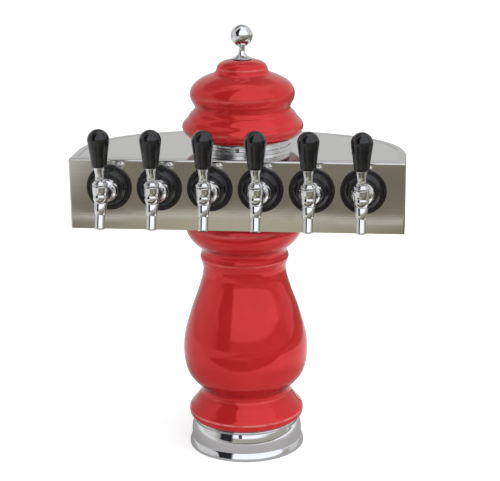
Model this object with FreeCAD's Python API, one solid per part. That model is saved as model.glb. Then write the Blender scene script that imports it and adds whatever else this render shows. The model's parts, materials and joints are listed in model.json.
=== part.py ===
import FreeCAD, Part
import math
import os

# Six-faucet beer tap tower: a glazed ceramic column on a chrome base, carrying a wide stainless
# header with a D-shaped plan, and a glazed ceramic dome with a ball finial on top.
# Millimetres. Origin: centre of the base's underside. +Z up, +X along the header, faucets face -Y.

V = FreeCAD.Vector
X_AXIS = V(1, 0, 0)
Y_AXIS = V(0, 1, 0)
Z_AXIS = V(0, 0, 1)

# ---- driving dimensions: header ------------------------------------------------------------
FAUCET_COUNT = 6
FAUCET_PITCH = 76.2          # 3 inch centres
SHANK_Z = 447.0              # height of the shank axes
HEADER_WIDTH = 504.0
HEADER_FRONT_Y = -104.0
HEADER_BOTTOM_Z = 382.0
HEADER_TOP_Z = 490.0
SIDE_LENGTH = 60.0           # straight stretch of each side wall
CORNER_R = 147.0             # plan radius between side and back
CROWN_R = 380.0              # plan radius of the back
FRONT_CORNER_R = 2.5         # folded corners of the front panel
LIP_R = 3.0                  # rolled edge around the top
SHEET = 1.5
RIM_WIDTH = 12.0             # flat border around the lid
LID_GAP = 0.7
LEDGE = 10.0                 # shelf under the lid's edge
BLOCK_HALF_X = 216.0         # cold block behind the front panel
BLOCK_FRONT_Y = HEADER_FRONT_Y + 13.0
BLOCK_DEPTH = 30.0
BLOCK_HEIGHT = 58.0
SOCKET_DEPTH = 12.0          # how far the glycol pipes enter the block
GLYCOL_RISE = 21.0           # glycol bores above and below the shank axes

# ---- driving dimensions: base, core and column ---------------------------------------------
BASE_R = 92.0
BASE_FOOT_R = 88.8           # where the foot's slope meets the upright band
BASE_BAND_R = 88.4
BASE_SHOULDER_R = 83.4
BASE_TOP_Z = 46.0
BASE_BORE_R = 80.5
BASE_LEDGE_Z = 44.0          # underside of the ledge that carries the ceramic
GASKET = 1.0
FLANGE_WALL_R = 80.0         # cast flange inside the base ring
FLANGE_WALL_Z = 43.0
FLANGE_PLATE = 6.0
BOLT_CIRCLE_R = 62.0
BOLT_HOLE_R = 3.6
CORE_R = 38.1                # 3 inch steel tube
CORE_WALL = 1.65
CORE_BOTTOM_Z = 2.0
FOAM_R = 56.5
LINE_CIRCLE_R = 26.0         # beer and glycol lines inside the core tube
LINE_BOTTOM_Z = 8.0
BEER_OD_R = 5.5
BEER_ID_R = 3.0
BEER_BEND_R = 15.0
GLYCOL_OD_R = 6.35
GLYCOL_ID_R = 4.75
GLYCOL_BEND_R = 16.0
TOP_FLANGE_R = 56.0          # welded on the core tube, bolted to the header's floor
TOP_FLANGE_THICK = 4.0
TOP_FLANGE_Z = HEADER_BOTTOM_Z + SHEET + TOP_FLANGE_THICK
HEADER_BOLT_CIRCLE_R = 48.0
HEADER_BOLT_R = 3.0
HEADER_BOLT_HEX = 10.0
BRIDGE_WIDTH = 8.0           # cross bar that anchors the tie rod
BRIDGE_THICK = 5.0
BRIDGE_BOSS_R = 8.0
SET_SCREW_R = 2.5
SET_SCREW_BASE_Z = 40.0
SET_SCREW_COLLAR_Z = 498.5
SET_SCREW_ANGLES = (-90, 30, 150)

# ---- driving dimensions: faucets ------------------------------------------------------------
FAUCET_Y = HEADER_FRONT_Y - 64.0     # vertical axis of the lever
SHANK_FRONT_Y = HEADER_FRONT_Y - 20.0
SHANK_R = 11.9
SHANK_THREAD_R = 14.2
SHANK_BORE_R = 4.0
SHANK_TAIL_R = 10.0
TAIL_Y = BLOCK_FRONT_Y + BLOCK_DEPTH + 24.0  # rear end of the shank
COUPLING_R = 18.5
CHAMBER_R = 9.0              # space around the seat washer
PASSAGE_R = 6.4
GUIDE_R = 5.0                # bore that guides the plunger
SEAT_Y = SHANK_FRONT_Y - 10.0
SEAT_WASHER_THICK = 2.5
SEAT_WASHER_R = 8.3
PLUNGER_STEM_R = 2.5
BONNET_R = 11.5
BONNET_BOTTOM_Z = SHANK_Z + 16.6
BONNET_TOP_Z = SHANK_Z + 26.0
BONNET_SEAT_Z = SHANK_Z + 22.6       # underside of the bonnet's roof, over the ball washer
COLLAR_R = 9.8               # threaded neck of the body, inside the bonnet
COLLAR_STEP_Z = SHANK_Z + 16.0
COLLAR_END_Z = SHANK_Z + 20.0
SPOUT_Y = FAUCET_Y - 8.0
SPOUT_BOTTOM_Z = 402.5
SPOUT_TOP_Z = SHANK_Z - 28.0
SPOUT_R = 7.5
SPOUT_BORE_R = 5.6
LEVER_BALL_Z = SHANK_Z + 18.0
LEVER_BALL_R = 7.0
LEVER_STEM_R = 2.9
LEVER_TIP_STEM_R = 1.8
LEVER_THREAD_R = 4.7
TIP_R = 2.4                  # rounded end of the lever inside the plunger
TIP_SLOT = TIP_R + 0.5
PIN_R = 1.5                  # cross pin of the lever ball
PIN_REACH = 8.2
PIN_GROOVE_REACH = 8.5
SHOULDER_Z = LEVER_BALL_Z + 11.8     # high enough to clear the bonnet at full tilt
FERRULE_BOTTOM_Z = LEVER_BALL_Z + 13.0
KNOB_BOTTOM_Z = 493.0
KNOB_TOP_Z = 549.0
KNOB_R = 16.2

# ---- driving dimensions: dome and finial ----------------------------------------------------
SPIGOT_SCREW_CIRCLE_R = 63.0
SPIGOT_SCREW_R = 2.0
SPIGOT_SCREWS = 3
SPIGOT_R = 68.0
SPIGOT_HEIGHT = 13.0
COLLAR_BOSS_R = 62.0         # inner edge of the dome collar's ledge
COLLAR_TOP_Z = 506.0
DOME_TOP_Z = 626.0
ROD_R = 3.175                # 1/4 inch tie rod
ROD_TOP_Z = DOME_TOP_Z + 8.0
ROD_NUT_HEX = 11.0
ROD_NUT_THICK = 6.0
FINIAL_BALL_R = 16.7
FINIAL_BALL_Z = 661.0

RUNNING = 0.05               # radial clearance of a running fit
THREAD = 0.05                # radial gap between modelled threads
LOOSE = 0.4                  # radial gap of a clearance hole
OVERCUT = 1.0                # how far cutting tools pass the surface

CORNER_X = HEADER_WIDTH / 2 - CORNER_R
CORNER_Y = HEADER_FRONT_Y + SIDE_LENGTH
CROWN_Y = CORNER_Y - math.sqrt((CROWN_R - CORNER_R) ** 2 - CORNER_X ** 2)

PARTS = "parts"


# ---- helpers ------------------------------------------------------------------------------
def curve(points, start=None, end=None):
    """Smooth edge through the points, with optional end directions."""
    spline = Part.BSplineCurve()
    vectors = [V(*p) for p in points]
    if start is None:
        spline.interpolate(vectors)
    else:
        spline.interpolate(Points=vectors, InitialTangent=V(*start), FinalTangent=V(*end))
    return spline.toShape()


def chain(stretches):
    """Edges from a list of stretches in (radius, height); two points make a line, more a curve."""
    edges = []
    for stretch in stretches:
        points = [(r, 0, z) for r, z in stretch]
        if len(points) == 2:
            edges.append(Part.makeLine(V(*points[0]), V(*points[1])))
        else:
            edges.append(curve(points))
    return edges


def turned(stretches):
    """Solid of revolution about Z from stretches that together close one outline."""
    face = Part.Face(Part.Wire(chain(stretches)))
    return face.revolve(V(0, 0, 0), Z_AXIS, 360)


def turned_polygon(points):
    """Solid of revolution about Z from straight-sided (radius, height) points."""
    closed = points + points[:1]
    return turned([closed[i:i + 2] for i in range(len(points))])


def facing_front(solid):
    """Lays a solid turned about Z along the shank axis: its +Z end then points to -Y."""
    lying = solid.copy()
    lying.rotate(V(0, 0, 0), X_AXIS, 90)
    lying.translate(V(0, 0, SHANK_Z))
    return lying


def along_shank(points):
    """Turned solid on the shank axis from (radius, y) points."""
    return facing_front(turned_polygon([(r, -y) for r, y in points]))


def cylinder(r, low, high, x=0.0, y=0.0):
    return Part.makeCylinder(r, high - low, V(x, y, low), Z_AXIS)


def ring(r_in, r_out, low, high, x=0.0, y=0.0):
    return cylinder(r_out, low, high, x, y).cut(cylinder(r_in, low - OVERCUT, high + OVERCUT, x, y))


def bar_y(r, front, back, x=0.0):
    """Bar on a shank axis."""
    return Part.makeCylinder(r, back - front, V(x, front, SHANK_Z), Y_AXIS)


def bar_x(r, reach, y, z):
    """Bar along X, centred on x = 0."""
    return Part.makeCylinder(r, 2 * reach, V(-reach, y, z), X_AXIS)


def drilled(solid, r, places, low, high):
    """The solid with vertical holes at the places."""
    for place in places:
        solid = solid.cut(cylinder(r, low - OVERCUT, high + OVERCUT, place.x, place.y))
    return solid


def hexagon(flats, low, high):
    """Hexagonal prism about Z."""
    reach = flats / math.sqrt(3)
    corners = [V(reach * math.cos(math.radians(a)), reach * math.sin(math.radians(a)), low)
               for a in range(0, 361, 60)]
    return Part.Face(Part.makePolygon(corners)).extrude(V(0, 0, high - low))


def round_places(count, radius, first_angle):
    """Points on a circle about the Z axis."""
    angles = [math.radians(first_angle + 360.0 * i / count) for i in range(count)]
    return [V(radius * math.cos(a), radius * math.sin(a), 0) for a in angles]


def moved(solid, offset):
    copy = solid.copy()
    copy.translate(offset)
    return copy


def turned_copy(solid, angle):
    copy = solid.copy()
    copy.rotate(V(0, 0, 0), Z_AXIS, angle)
    return copy


def faucet_x(index):
    return (index - (FAUCET_COUNT - 1) / 2) * FAUCET_PITCH


def at_each_faucet(solid):
    return Part.makeCompound([moved(solid, V(faucet_x(i), 0, 0)) for i in range(FAUCET_COUNT)])


def swept(edges, r_out, r_in):
    """Hose or pipe that follows the edges."""
    path = Part.Wire(edges)
    start = path.Edges[0].Vertexes[0].Point
    first = path.Edges[0]
    direction = first.tangentAt(first.FirstParameter)
    bodies = []
    for r in (r_out, r_in):
        profile = Part.Wire(Part.makeCircle(r, start, direction))
        bodies.append(path.makePipeShell([profile], True, False))
    return bodies[0].cut(bodies[1])


# ---- base ---------------------------------------------------------------------------------
def set_screw_hole(height):
    return Part.makeCylinder(SET_SCREW_R + THREAD, CORE_R, V(CORE_R + 22, 0, height), X_AXIS)


def with_set_screw_holes(solid, height):
    for angle in SET_SCREW_ANGLES:
        solid = solid.cut(turned_copy(set_screw_hole(height), angle))
    return solid


def base_ring():
    """Chrome plinth: sloping foot, upright band, rounded shoulder and a bead under the ceramic."""
    body = turned([
        [(BASE_BORE_R, 0), (BASE_R - 0.8, 0)],
        [(BASE_R - 0.8, 0), (BASE_R - 0.2, 0.2), (BASE_R, 0.8)],
        [(BASE_R, 0.8), (BASE_R, 4)],
        [(BASE_R, 4), (BASE_R - 0.2, 4.8), (BASE_FOOT_R + 0.2, 11.8), (BASE_FOOT_R - 0.2, 12.4)],
        [(BASE_FOOT_R - 0.2, 12.4), (BASE_BAND_R, 13)],
        [(BASE_BAND_R, 13), (BASE_BAND_R, 27)],
        [(BASE_BAND_R, 27), (87.5, 30.6), (86, 35.6), (BASE_SHOULDER_R, 42.6)],
        [(BASE_SHOULDER_R, 42.6), (82.4, 43.1)],
        [(82.4, 43.1), (82.2, 43.7), (82.5, 44.2)],
        [(82.5, 44.2), (83.1, 44.9), (82.6, BASE_TOP_Z)],
        [(82.6, BASE_TOP_Z), (TOP_FLANGE_R, BASE_TOP_Z)],
        [(TOP_FLANGE_R, BASE_TOP_Z), (TOP_FLANGE_R, BASE_LEDGE_Z)],
        [(TOP_FLANGE_R, BASE_LEDGE_Z), (BASE_BORE_R, BASE_LEDGE_Z)],
        [(BASE_BORE_R, BASE_LEDGE_Z), (BASE_BORE_R, 0)],
    ])
    return with_set_screw_holes(body, SET_SCREW_BASE_Z)


def set_screw(inner_end, outer_end, height):
    """Socket set screw lying along +X with a hexagonal key recess in its outer end."""
    body = Part.makeCylinder(SET_SCREW_R, outer_end - inner_end, V(inner_end, 0, height), X_AXIS)
    key = hexagon(SET_SCREW_R, -1.8, OVERCUT)
    key.rotate(V(0, 0, 0), Y_AXIS, 90)
    key.translate(V(outer_end, 0, height))
    return body.cut(key)


def set_screws():
    base_screw = set_screw(72.5, 83.2, SET_SCREW_BASE_Z)
    collar_screw = set_screw(60.5, 70.7, SET_SCREW_COLLAR_Z)
    screws = [turned_copy(s, a) for s in (base_screw, collar_screw) for a in SET_SCREW_ANGLES]
    return Part.makeCompound(screws)


def base_flange():
    """Cast flange that is screwed to the bar; its wall takes the set screws of the base ring."""
    socket = CORE_R + THREAD
    hub_top = FLANGE_WALL_Z - 7
    body = turned_polygon([(socket, 0), (FLANGE_WALL_R, 0), (FLANGE_WALL_R, FLANGE_WALL_Z),
                           (FLANGE_WALL_R - 10, FLANGE_WALL_Z), (FLANGE_WALL_R - 10, FLANGE_PLATE),
                           (CORE_R + 10, FLANGE_PLATE), (CORE_R + 10, hub_top), (socket, hub_top)])
    body = drilled(body, BOLT_HOLE_R, round_places(4, BOLT_CIRCLE_R, 45), 0, FLANGE_PLATE)
    return with_set_screw_holes(body, SET_SCREW_BASE_Z)


# ---- column -------------------------------------------------------------------------------
def column_ceramic():
    """Red glazed baluster: foot, waist, belly, neck bead and flared head; hollow inside."""
    low = BASE_TOP_Z + GASKET
    high = HEADER_BOTTOM_Z - GASKET
    outer_foot = [(83, low), (86.6, 48.2), (90.6, 52.6), (91.6, 58), (90.6, 64.5), (84.5, 71.5), (76.4, 82),
                  (71, 88.5), (69.4, 94.5), (72.2, 100.5), (81, 109), (91, 122), (96.6, 138),
                  (99, 163), (96.6, 186), (86, 225.5), (73, 262), (66.4, 285), (65.3, 295)]
    neck = [(65.3, 295), (66.2, 303), (68.6, 309.5), (69.8, 314), (69.4, 318.2)]
    groove = [(69.4, 318.2), (68.2, 320.5), (67.8, 324), (68.6, 329), (71.4, 333)]
    head = [(71.4, 333), (78.2, 338.6), (87, 349.4), (91.4, 361), (90.6, 372), (86, high)]
    inner = [(58, high), (58, 300), (58, 270)]
    hollow = [(58, 270), (66, 258), (79, 224), (88.5, 185), (91, 163), (88, 140),
              (80, 122), (64, 104), (61, 94)]
    return turned([
        outer_foot, neck, groove, head,
        [(86, high), inner[0]],
        [inner[0], inner[2]],
        hollow,
        [(61, 94), (61, low)],
        [(61, low), (83, low)],
    ])


def column_foam():
    """Insulation sleeve between the steel core and the ceramic."""
    return ring(CORE_R + 0.2, FOAM_R, BASE_TOP_Z + 4, HEADER_BOTTOM_Z - 8)


def core_tube():
    """Steel core: tube, welded top flange and the cross bar that anchors the tie rod."""
    inside = CORE_R - CORE_WALL
    tube = ring(inside, CORE_R, CORE_BOTTOM_Z, TOP_FLANGE_Z)
    flange = ring(inside, TOP_FLANGE_R, TOP_FLANGE_Z - TOP_FLANGE_THICK, TOP_FLANGE_Z)
    bridge_reach = CORE_R + 4
    bridge = Part.makeBox(BRIDGE_WIDTH, 2 * bridge_reach, BRIDGE_THICK,
                          V(-BRIDGE_WIDTH / 2, -bridge_reach, TOP_FLANGE_Z))
    bridge_top = TOP_FLANGE_Z + BRIDGE_THICK
    boss = cylinder(BRIDGE_BOSS_R, TOP_FLANGE_Z, bridge_top)
    body = tube.fuse([flange, bridge, boss])
    body = drilled(body, HEADER_BOLT_R + THREAD, round_places(4, HEADER_BOLT_CIRCLE_R, 45),
                   HEADER_BOTTOM_Z, bridge_top)
    return drilled(body, ROD_R + THREAD, [V(0, 0, 0)], HEADER_BOTTOM_Z, bridge_top).removeSplitter()


def header_bolts():
    """Four hexagon bolts with nuts that hold the header's floor to the core flange."""
    solids = []
    nut_low = HEADER_BOTTOM_Z - 5
    for place in round_places(4, HEADER_BOLT_CIRCLE_R, 45):
        thread = cylinder(HEADER_BOLT_R, nut_low - 2, TOP_FLANGE_Z)
        bolt = thread.fuse(hexagon(HEADER_BOLT_HEX, TOP_FLANGE_Z, TOP_FLANGE_Z + 4))
        nut = drilled(hexagon(HEADER_BOLT_HEX, nut_low, HEADER_BOTTOM_Z), HEADER_BOLT_R + THREAD,
                      [V(0, 0, 0)], nut_low, HEADER_BOTTOM_Z)
        solids += [moved(bolt, place), moved(nut, place)]
    return Part.makeCompound(solids)


def ceramic_gaskets():
    """Thin rings that cushion the ceramic: foot and head of the column, foot of the dome."""
    return Part.makeCompound([
        ring(61, 81.6, BASE_TOP_Z, BASE_TOP_Z + GASKET),
        ring(58, 85, HEADER_BOTTOM_Z - GASKET, HEADER_BOTTOM_Z),
        ring(COLLAR_BOSS_R, 70, COLLAR_TOP_Z, COLLAR_TOP_Z + GASKET),
    ])


# ---- header -------------------------------------------------------------------------------
def plan_face(inset, z):
    """D-shaped plan: square front, short straight sides, round corners and a shallow crown."""
    half = HEADER_WIDTH / 2 - inset
    front = HEADER_FRONT_Y + inset
    corner_r = CORNER_R - inset
    crown_r = CROWN_R - inset
    split = math.atan2(CORNER_Y - CROWN_Y, CORNER_X)
    join = V(crown_r * math.cos(split), CROWN_Y + crown_r * math.sin(split), z)
    mid = V(CORNER_X + corner_r * math.cos(split / 2), CORNER_Y + corner_r * math.sin(split / 2), z)
    bend = max(FRONT_CORNER_R - inset, 0.4)
    soft = bend * (1 - math.sqrt(0.5))

    def mirrored(p):
        return V(-p.x, p.y, p.z)

    side_end = V(half, CORNER_Y, z)
    side_start = V(half, front + bend, z)
    bend_mid = V(half - soft, front + soft, z)
    front_end = V(half - bend, front, z)
    apex = V(0, CROWN_Y + crown_r, z)
    edges = [
        Part.Arc(join, apex, mirrored(join)).toShape(),
        Part.Arc(mirrored(join), mirrored(mid), mirrored(side_end)).toShape(),
        Part.makeLine(mirrored(side_end), mirrored(side_start)),
        Part.Arc(mirrored(side_start), mirrored(bend_mid), mirrored(front_end)).toShape(),
        Part.makeLine(mirrored(front_end), front_end),
        Part.Arc(front_end, bend_mid, side_start).toShape(),
        Part.makeLine(side_start, side_end),
        Part.Arc(side_end, mid, join).toShape(),
    ]
    return Part.Face(Part.Wire(edges))


def slab(inset, low, high):
    return plan_face(inset, low).extrude(V(0, 0, high - low))


def header_shell():
    """Folded stainless tray: front panel, wrap, floor, top border and the ledge under the lid."""
    body = slab(0, HEADER_BOTTOM_Z, HEADER_TOP_Z)
    top_edges = [e for e in body.Edges if all(abs(v.Z - HEADER_TOP_Z) < 0.01 for v in e.Vertexes)]
    body = body.makeFillet(LIP_R, top_edges)
    ledge_low = HEADER_TOP_Z - 2 * SHEET
    floor_top = HEADER_BOTTOM_Z + SHEET
    body = body.cut(slab(SHEET, floor_top, ledge_low - SHEET))
    body = body.cut(slab(LIP_R, ledge_low - SHEET - OVERCUT, ledge_low))
    body = body.cut(slab(RIM_WIDTH + LEDGE, ledge_low - OVERCUT, HEADER_TOP_Z))
    body = body.cut(slab(RIM_WIDTH, HEADER_TOP_Z - SHEET, HEADER_TOP_Z + OVERCUT))
    hollow_border = slab(LIP_R, ledge_low - OVERCUT, HEADER_TOP_Z - SHEET).cut(
        slab(RIM_WIDTH - SHEET, ledge_low - 2 * OVERCUT, HEADER_TOP_Z))
    body = body.cut(hollow_border)
    floor_holes = [(CORE_R + LOOSE, [V(0, 0, 0)]),
                   (HEADER_BOLT_R + THREAD, round_places(4, HEADER_BOLT_CIRCLE_R, 45))]
    for r, places in floor_holes:
        body = drilled(body, r, places, HEADER_BOTTOM_Z, floor_top)
    for i in range(FAUCET_COUNT):
        body = body.cut(bar_y(SHANK_R + LOOSE, HEADER_FRONT_Y - OVERCUT,
                              HEADER_FRONT_Y + SHEET + OVERCUT, faucet_x(i)))
    return body


def spigot_screw_places():
    return round_places(SPIGOT_SCREWS, SPIGOT_SCREW_CIRCLE_R, 90)


def header_lid():
    """Flat stainless lid that drops into the border of the header."""
    body = slab(RIM_WIDTH + LID_GAP, HEADER_TOP_Z - SHEET, HEADER_TOP_Z)
    body = drilled(body, ROD_R + LOOSE, [V(0, 0, 0)], HEADER_TOP_Z - SHEET, HEADER_TOP_Z)
    return drilled(body, SPIGOT_SCREW_R + THREAD, spigot_screw_places(), HEADER_TOP_Z - SHEET, HEADER_TOP_Z)


def cold_block():
    """Aluminium bar chilled by glycol; the six shanks pass through it."""
    body = Part.makeBox(2 * BLOCK_HALF_X, BLOCK_DEPTH, BLOCK_HEIGHT,
                        V(-BLOCK_HALF_X, BLOCK_FRONT_Y, SHANK_Z - BLOCK_HEIGHT / 2))
    middle = BLOCK_FRONT_Y + BLOCK_DEPTH / 2
    for i in range(FAUCET_COUNT):
        body = body.cut(bar_y(SHANK_R + 0.1, BLOCK_FRONT_Y - OVERCUT,
                              BLOCK_FRONT_Y + BLOCK_DEPTH + OVERCUT, faucet_x(i)))
    through = BLOCK_HALF_X + OVERCUT
    for z in (SHANK_Z - GLYCOL_RISE, SHANK_Z + GLYCOL_RISE):
        body = body.cut(bar_x(GLYCOL_ID_R, through, middle, z))
        sockets = bar_x(GLYCOL_OD_R + THREAD, through, middle, z).cut(
            bar_x(2 * GLYCOL_OD_R, BLOCK_HALF_X - SOCKET_DEPTH, middle, z))
        body = body.cut(sockets)
    return body


# ---- faucet, drawn at x = 0 and copied to each place ---------------------------------------
def shank():
    """Threaded steel shank from the faucet back through the panel and the cold block."""
    rear_thread = TAIL_Y - 12
    collar_front = HEADER_FRONT_Y - 10.5
    collar_back = HEADER_FRONT_Y - 8
    body = along_shank([(SHANK_BORE_R, SHANK_FRONT_Y), (SHANK_THREAD_R, SHANK_FRONT_Y),
                        (SHANK_THREAD_R, collar_front), (17, collar_front),
                        (17, collar_back), (SHANK_R, collar_back),
                        (SHANK_R, rear_thread), (SHANK_TAIL_R, rear_thread),
                        (SHANK_TAIL_R, TAIL_Y), (SHANK_BORE_R, TAIL_Y)])
    return body.cut(bar_y(CHAMBER_R, SHANK_FRONT_Y - OVERCUT, SHANK_FRONT_Y + 12))


def shank_flange():
    """Black moulded escutcheon: flat outer ring, groove and a dished cone to the shank collar."""
    y0 = HEADER_FRONT_Y
    return facing_front(turned([
        [(12.2, -y0), (34.5, -y0)],
        [(34.5, -y0), (34.5, 2.2 - y0)],
        [(34.5, 2.2 - y0), (34.1, 3.2 - y0), (33, 3.6 - y0)],
        [(33, 3.6 - y0), (30.6, 3.6 - y0)],
        [(30.6, 3.6 - y0), (30.2, 2.4 - y0)],
        [(30.2, 2.4 - y0), (28.8, 2.4 - y0)],
        [(28.8, 2.4 - y0), (28.4, 4.2 - y0)],
        [(28.4, 4.2 - y0), (25.5, 5.4 - y0), (22.6, 8.4 - y0)],
        [(22.6, 8.4 - y0), (21.8, 9.3 - y0), (20.6, 9.6 - y0)],
        [(20.6, 9.6 - y0), (17.3, 9.6 - y0)],
        [(17.3, 9.6 - y0), (17.3, 8 - y0)],
        [(17.3, 8 - y0), (12.2, 8 - y0)],
        [(12.2, 8 - y0), (12.2, -y0)],
    ]))


def coupling_nut():
    """Domed chrome nut with four spanner holes in its slope."""
    back = HEADER_FRONT_Y - 10.8
    lip = SHANK_FRONT_Y - 4.2
    front = back - 18.5
    body = facing_front(turned([
        [(SHANK_THREAD_R + THREAD, -back), (17.4, -back)],
        [(17.4, -back), (18.2, 0.6 - back), (COUPLING_R, 2.4 - back)],
        [(COUPLING_R, 2.4 - back), (18.4, 6.5 - back), (17.0, 11.5 - back), (14.6, 15.8 - back),
         (12.8, -front)],
        [(12.8, -front), (11.6, -front)],
        [(11.6, -front), (11.6, -lip)],
        [(11.6, -lip), (SHANK_THREAD_R + THREAD, -lip)],
        [(SHANK_THREAD_R + THREAD, -lip), (SHANK_THREAD_R + THREAD, -back)],
    ]))
    hole_y = back - 13.2
    for angle in range(0, 360, 90):
        hole = Part.makeCylinder(1.9, 8, V(13.6, hole_y, 0), V(1, -0.75, 0))
        hole.rotate(V(0, 0, 0), Y_AXIS, angle)
        hole.translate(V(0, 0, SHANK_Z))
        body = body.cut(hole)
    return body


def shank_nut():
    back = HEADER_FRONT_Y + SHEET
    nut = drilled(hexagon(33, -back - 9, -back), SHANK_R + THREAD, [V(0, 0, 0)], -back - 9, -back)
    return facing_front(nut)


def tailpiece():
    """Barbed hose tail held against the shank by the tail nut."""
    rim = TAIL_Y + 2.5
    neck = TAIL_Y + 6
    end = TAIL_Y + 24
    return along_shank([(2, TAIL_Y), (9.6, TAIL_Y), (9.6, rim), (4.5, rim), (4.5, neck),
                        (BEER_ID_R, neck), (BEER_ID_R, end), (2, end)])


def tail_nut():
    front = TAIL_Y - 9
    lip = TAIL_Y + 2.6
    back = TAIL_Y + 5
    nut = hexagon(27, -back, -front)
    nut = nut.cut(cylinder(SHANK_TAIL_R + THREAD, -lip, OVERCUT - front))
    nut = nut.cut(cylinder(4.6, -back - OVERCUT, -front))
    return facing_front(nut)


def hose_clamp():
    """Stepless ear clamp over the hose and barb."""
    y = TAIL_Y + 10
    band = facing_front(ring(BEER_OD_R + THREAD, BEER_OD_R + 0.9, -y - 7, -y))
    ear = Part.makeBox(4, 7, 3, V(-2, y, SHANK_Z + BEER_OD_R + 0.6))
    return band.fuse(ear)


def spout_stretch(radii):
    """Curved spout from the barrel to the straight tip, through circles of the given radii."""
    path = [(FAUCET_Y + 8, SHANK_Z), (FAUCET_Y - 1, SHANK_Z - 10), (FAUCET_Y - 6, SHANK_Z - 19),
            (SPOUT_Y, SPOUT_TOP_Z)]
    slopes = [(-0.75, -0.66), (-0.6, -0.8), (-0.35, -0.94), (0, -1)]
    rings = [Part.Wire(Part.makeCircle(r, V(0, y, z), V(0, dy, dz)))
             for (y, z), (dy, dz), r in zip(path, slopes, radii)]
    return Part.makeLoft(rings, True)


def faucet_body():
    """Chrome faucet body: rear flange, barrel, nose, lever collar and spout, with its passages."""
    nose_y = FAUCET_Y - 12
    barrel = facing_front(turned([
        [(0, -SHANK_FRONT_Y), (13.6, -SHANK_FRONT_Y)],
        [(13.6, -SHANK_FRONT_Y), (13.6, 4 - SHANK_FRONT_Y)],
        [(13.6, 4 - SHANK_FRONT_Y), (11.5, 4 - SHANK_FRONT_Y)],
        [(11.5, 4 - SHANK_FRONT_Y), (11.5, 13 - SHANK_FRONT_Y)],
        [(11.5, 13 - SHANK_FRONT_Y), (10.4, 20 - SHANK_FRONT_Y), (9.8, 30 - SHANK_FRONT_Y),
         (10.6, -FAUCET_Y - 4), (10.2, 4 - FAUCET_Y), (7.4, 9 - FAUCET_Y), (0, -nose_y)],
        [(0, -nose_y), (0, -SHANK_FRONT_Y)],
    ]))
    collar = turned([
        [(0, SHANK_Z - 4), (9, SHANK_Z - 4)],
        [(9, SHANK_Z - 4), (10.4, SHANK_Z + 1), (10.9, SHANK_Z + 5), (BONNET_R - 0.2, SHANK_Z + 10)],
        [(BONNET_R - 0.2, SHANK_Z + 10), (BONNET_R - 0.2, COLLAR_STEP_Z)],
        [(BONNET_R - 0.2, COLLAR_STEP_Z), (COLLAR_R, COLLAR_STEP_Z)],
        [(COLLAR_R, COLLAR_STEP_Z), (COLLAR_R, COLLAR_END_Z)],
        [(COLLAR_R, COLLAR_END_Z), (0, COLLAR_END_Z)],
        [(0, COLLAR_END_Z), (0, SHANK_Z - 4)],
    ])
    collar.translate(V(0, FAUCET_Y, 0))
    tip = cylinder(SPOUT_R, SPOUT_BOTTOM_Z, SPOUT_TOP_Z, 0, SPOUT_Y)
    body = barrel.fuse([collar, spout_stretch((9.6, 9.4, 8.5, SPOUT_R)), tip])
    bores = [
        bar_y(CHAMBER_R, SEAT_Y, SHANK_FRONT_Y + OVERCUT),
        bar_y(PASSAGE_R, FAUCET_Y + 6, SEAT_Y + OVERCUT),
        bar_y(GUIDE_R, FAUCET_Y - 9.5, FAUCET_Y + 7),
        spout_stretch((4.6, 4.8, 5.2, SPOUT_BORE_R)),
        cylinder(SPOUT_BORE_R, SPOUT_BOTTOM_Z - OVERCUT, SPOUT_TOP_Z, 0, SPOUT_Y),
        Part.makeSphere(LEVER_BALL_R + RUNNING, V(0, FAUCET_Y, LEVER_BALL_Z)),
        cylinder(LEVER_BALL_R + RUNNING, LEVER_BALL_Z, COLLAR_END_Z + OVERCUT, 0, FAUCET_Y),
        bar_x(PIN_R + RUNNING, PIN_GROOVE_REACH, FAUCET_Y, LEVER_BALL_Z),
    ]
    for bore in bores:
        body = body.cut(bore)
    pin_width = PIN_R + RUNNING
    pin_entry = Part.makeBox(2 * PIN_GROOVE_REACH, 2 * pin_width, COLLAR_END_Z - LEVER_BALL_Z + OVERCUT,
                             V(-PIN_GROOVE_REACH, FAUCET_Y - pin_width, LEVER_BALL_Z))
    tip_room = Part.makeBox(2 * TIP_SLOT, TIP_SLOT + 10.6, 13, V(-TIP_SLOT, FAUCET_Y - TIP_SLOT, SHANK_Z))
    return body.cut(pin_entry).cut(tip_room)


def bonnet():
    """Chrome bonnet that keeps the ball washer and the lever ball in the collar."""
    low = BONNET_BOTTOM_Z
    inside = COLLAR_R + THREAD
    body = turned([
        [(inside, low), (BONNET_R - 0.4, low)],
        [(BONNET_R - 0.4, low), (BONNET_R, low + 0.6), (BONNET_R, low + 2.6), (BONNET_R - 0.7, low + 5.4)],
        [(BONNET_R - 0.7, low + 5.4), (BONNET_R - 1.5, low + 8.2), (9.3, BONNET_TOP_Z)],
        [(9.3, BONNET_TOP_Z), (8.8, BONNET_TOP_Z)],
        [(8.8, BONNET_TOP_Z), (6.3, BONNET_SEAT_Z)],
        [(6.3, BONNET_SEAT_Z), (8.8, BONNET_SEAT_Z)],
        [(8.8, BONNET_SEAT_Z), (8.8, COLLAR_END_Z + 0.1)],
        [(8.8, COLLAR_END_Z + 0.1), (inside, COLLAR_END_Z + 0.1)],
        [(inside, COLLAR_END_Z + 0.1), (inside, low)],
    ])
    body.translate(V(0, FAUCET_Y, 0))
    return body


def ball_washer():
    """Nylon friction ring over the lever ball."""
    return ring(6.7, 8.7, BONNET_SEAT_Z - 2.1, BONNET_SEAT_Z - 0.1, 0, FAUCET_Y)


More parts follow.
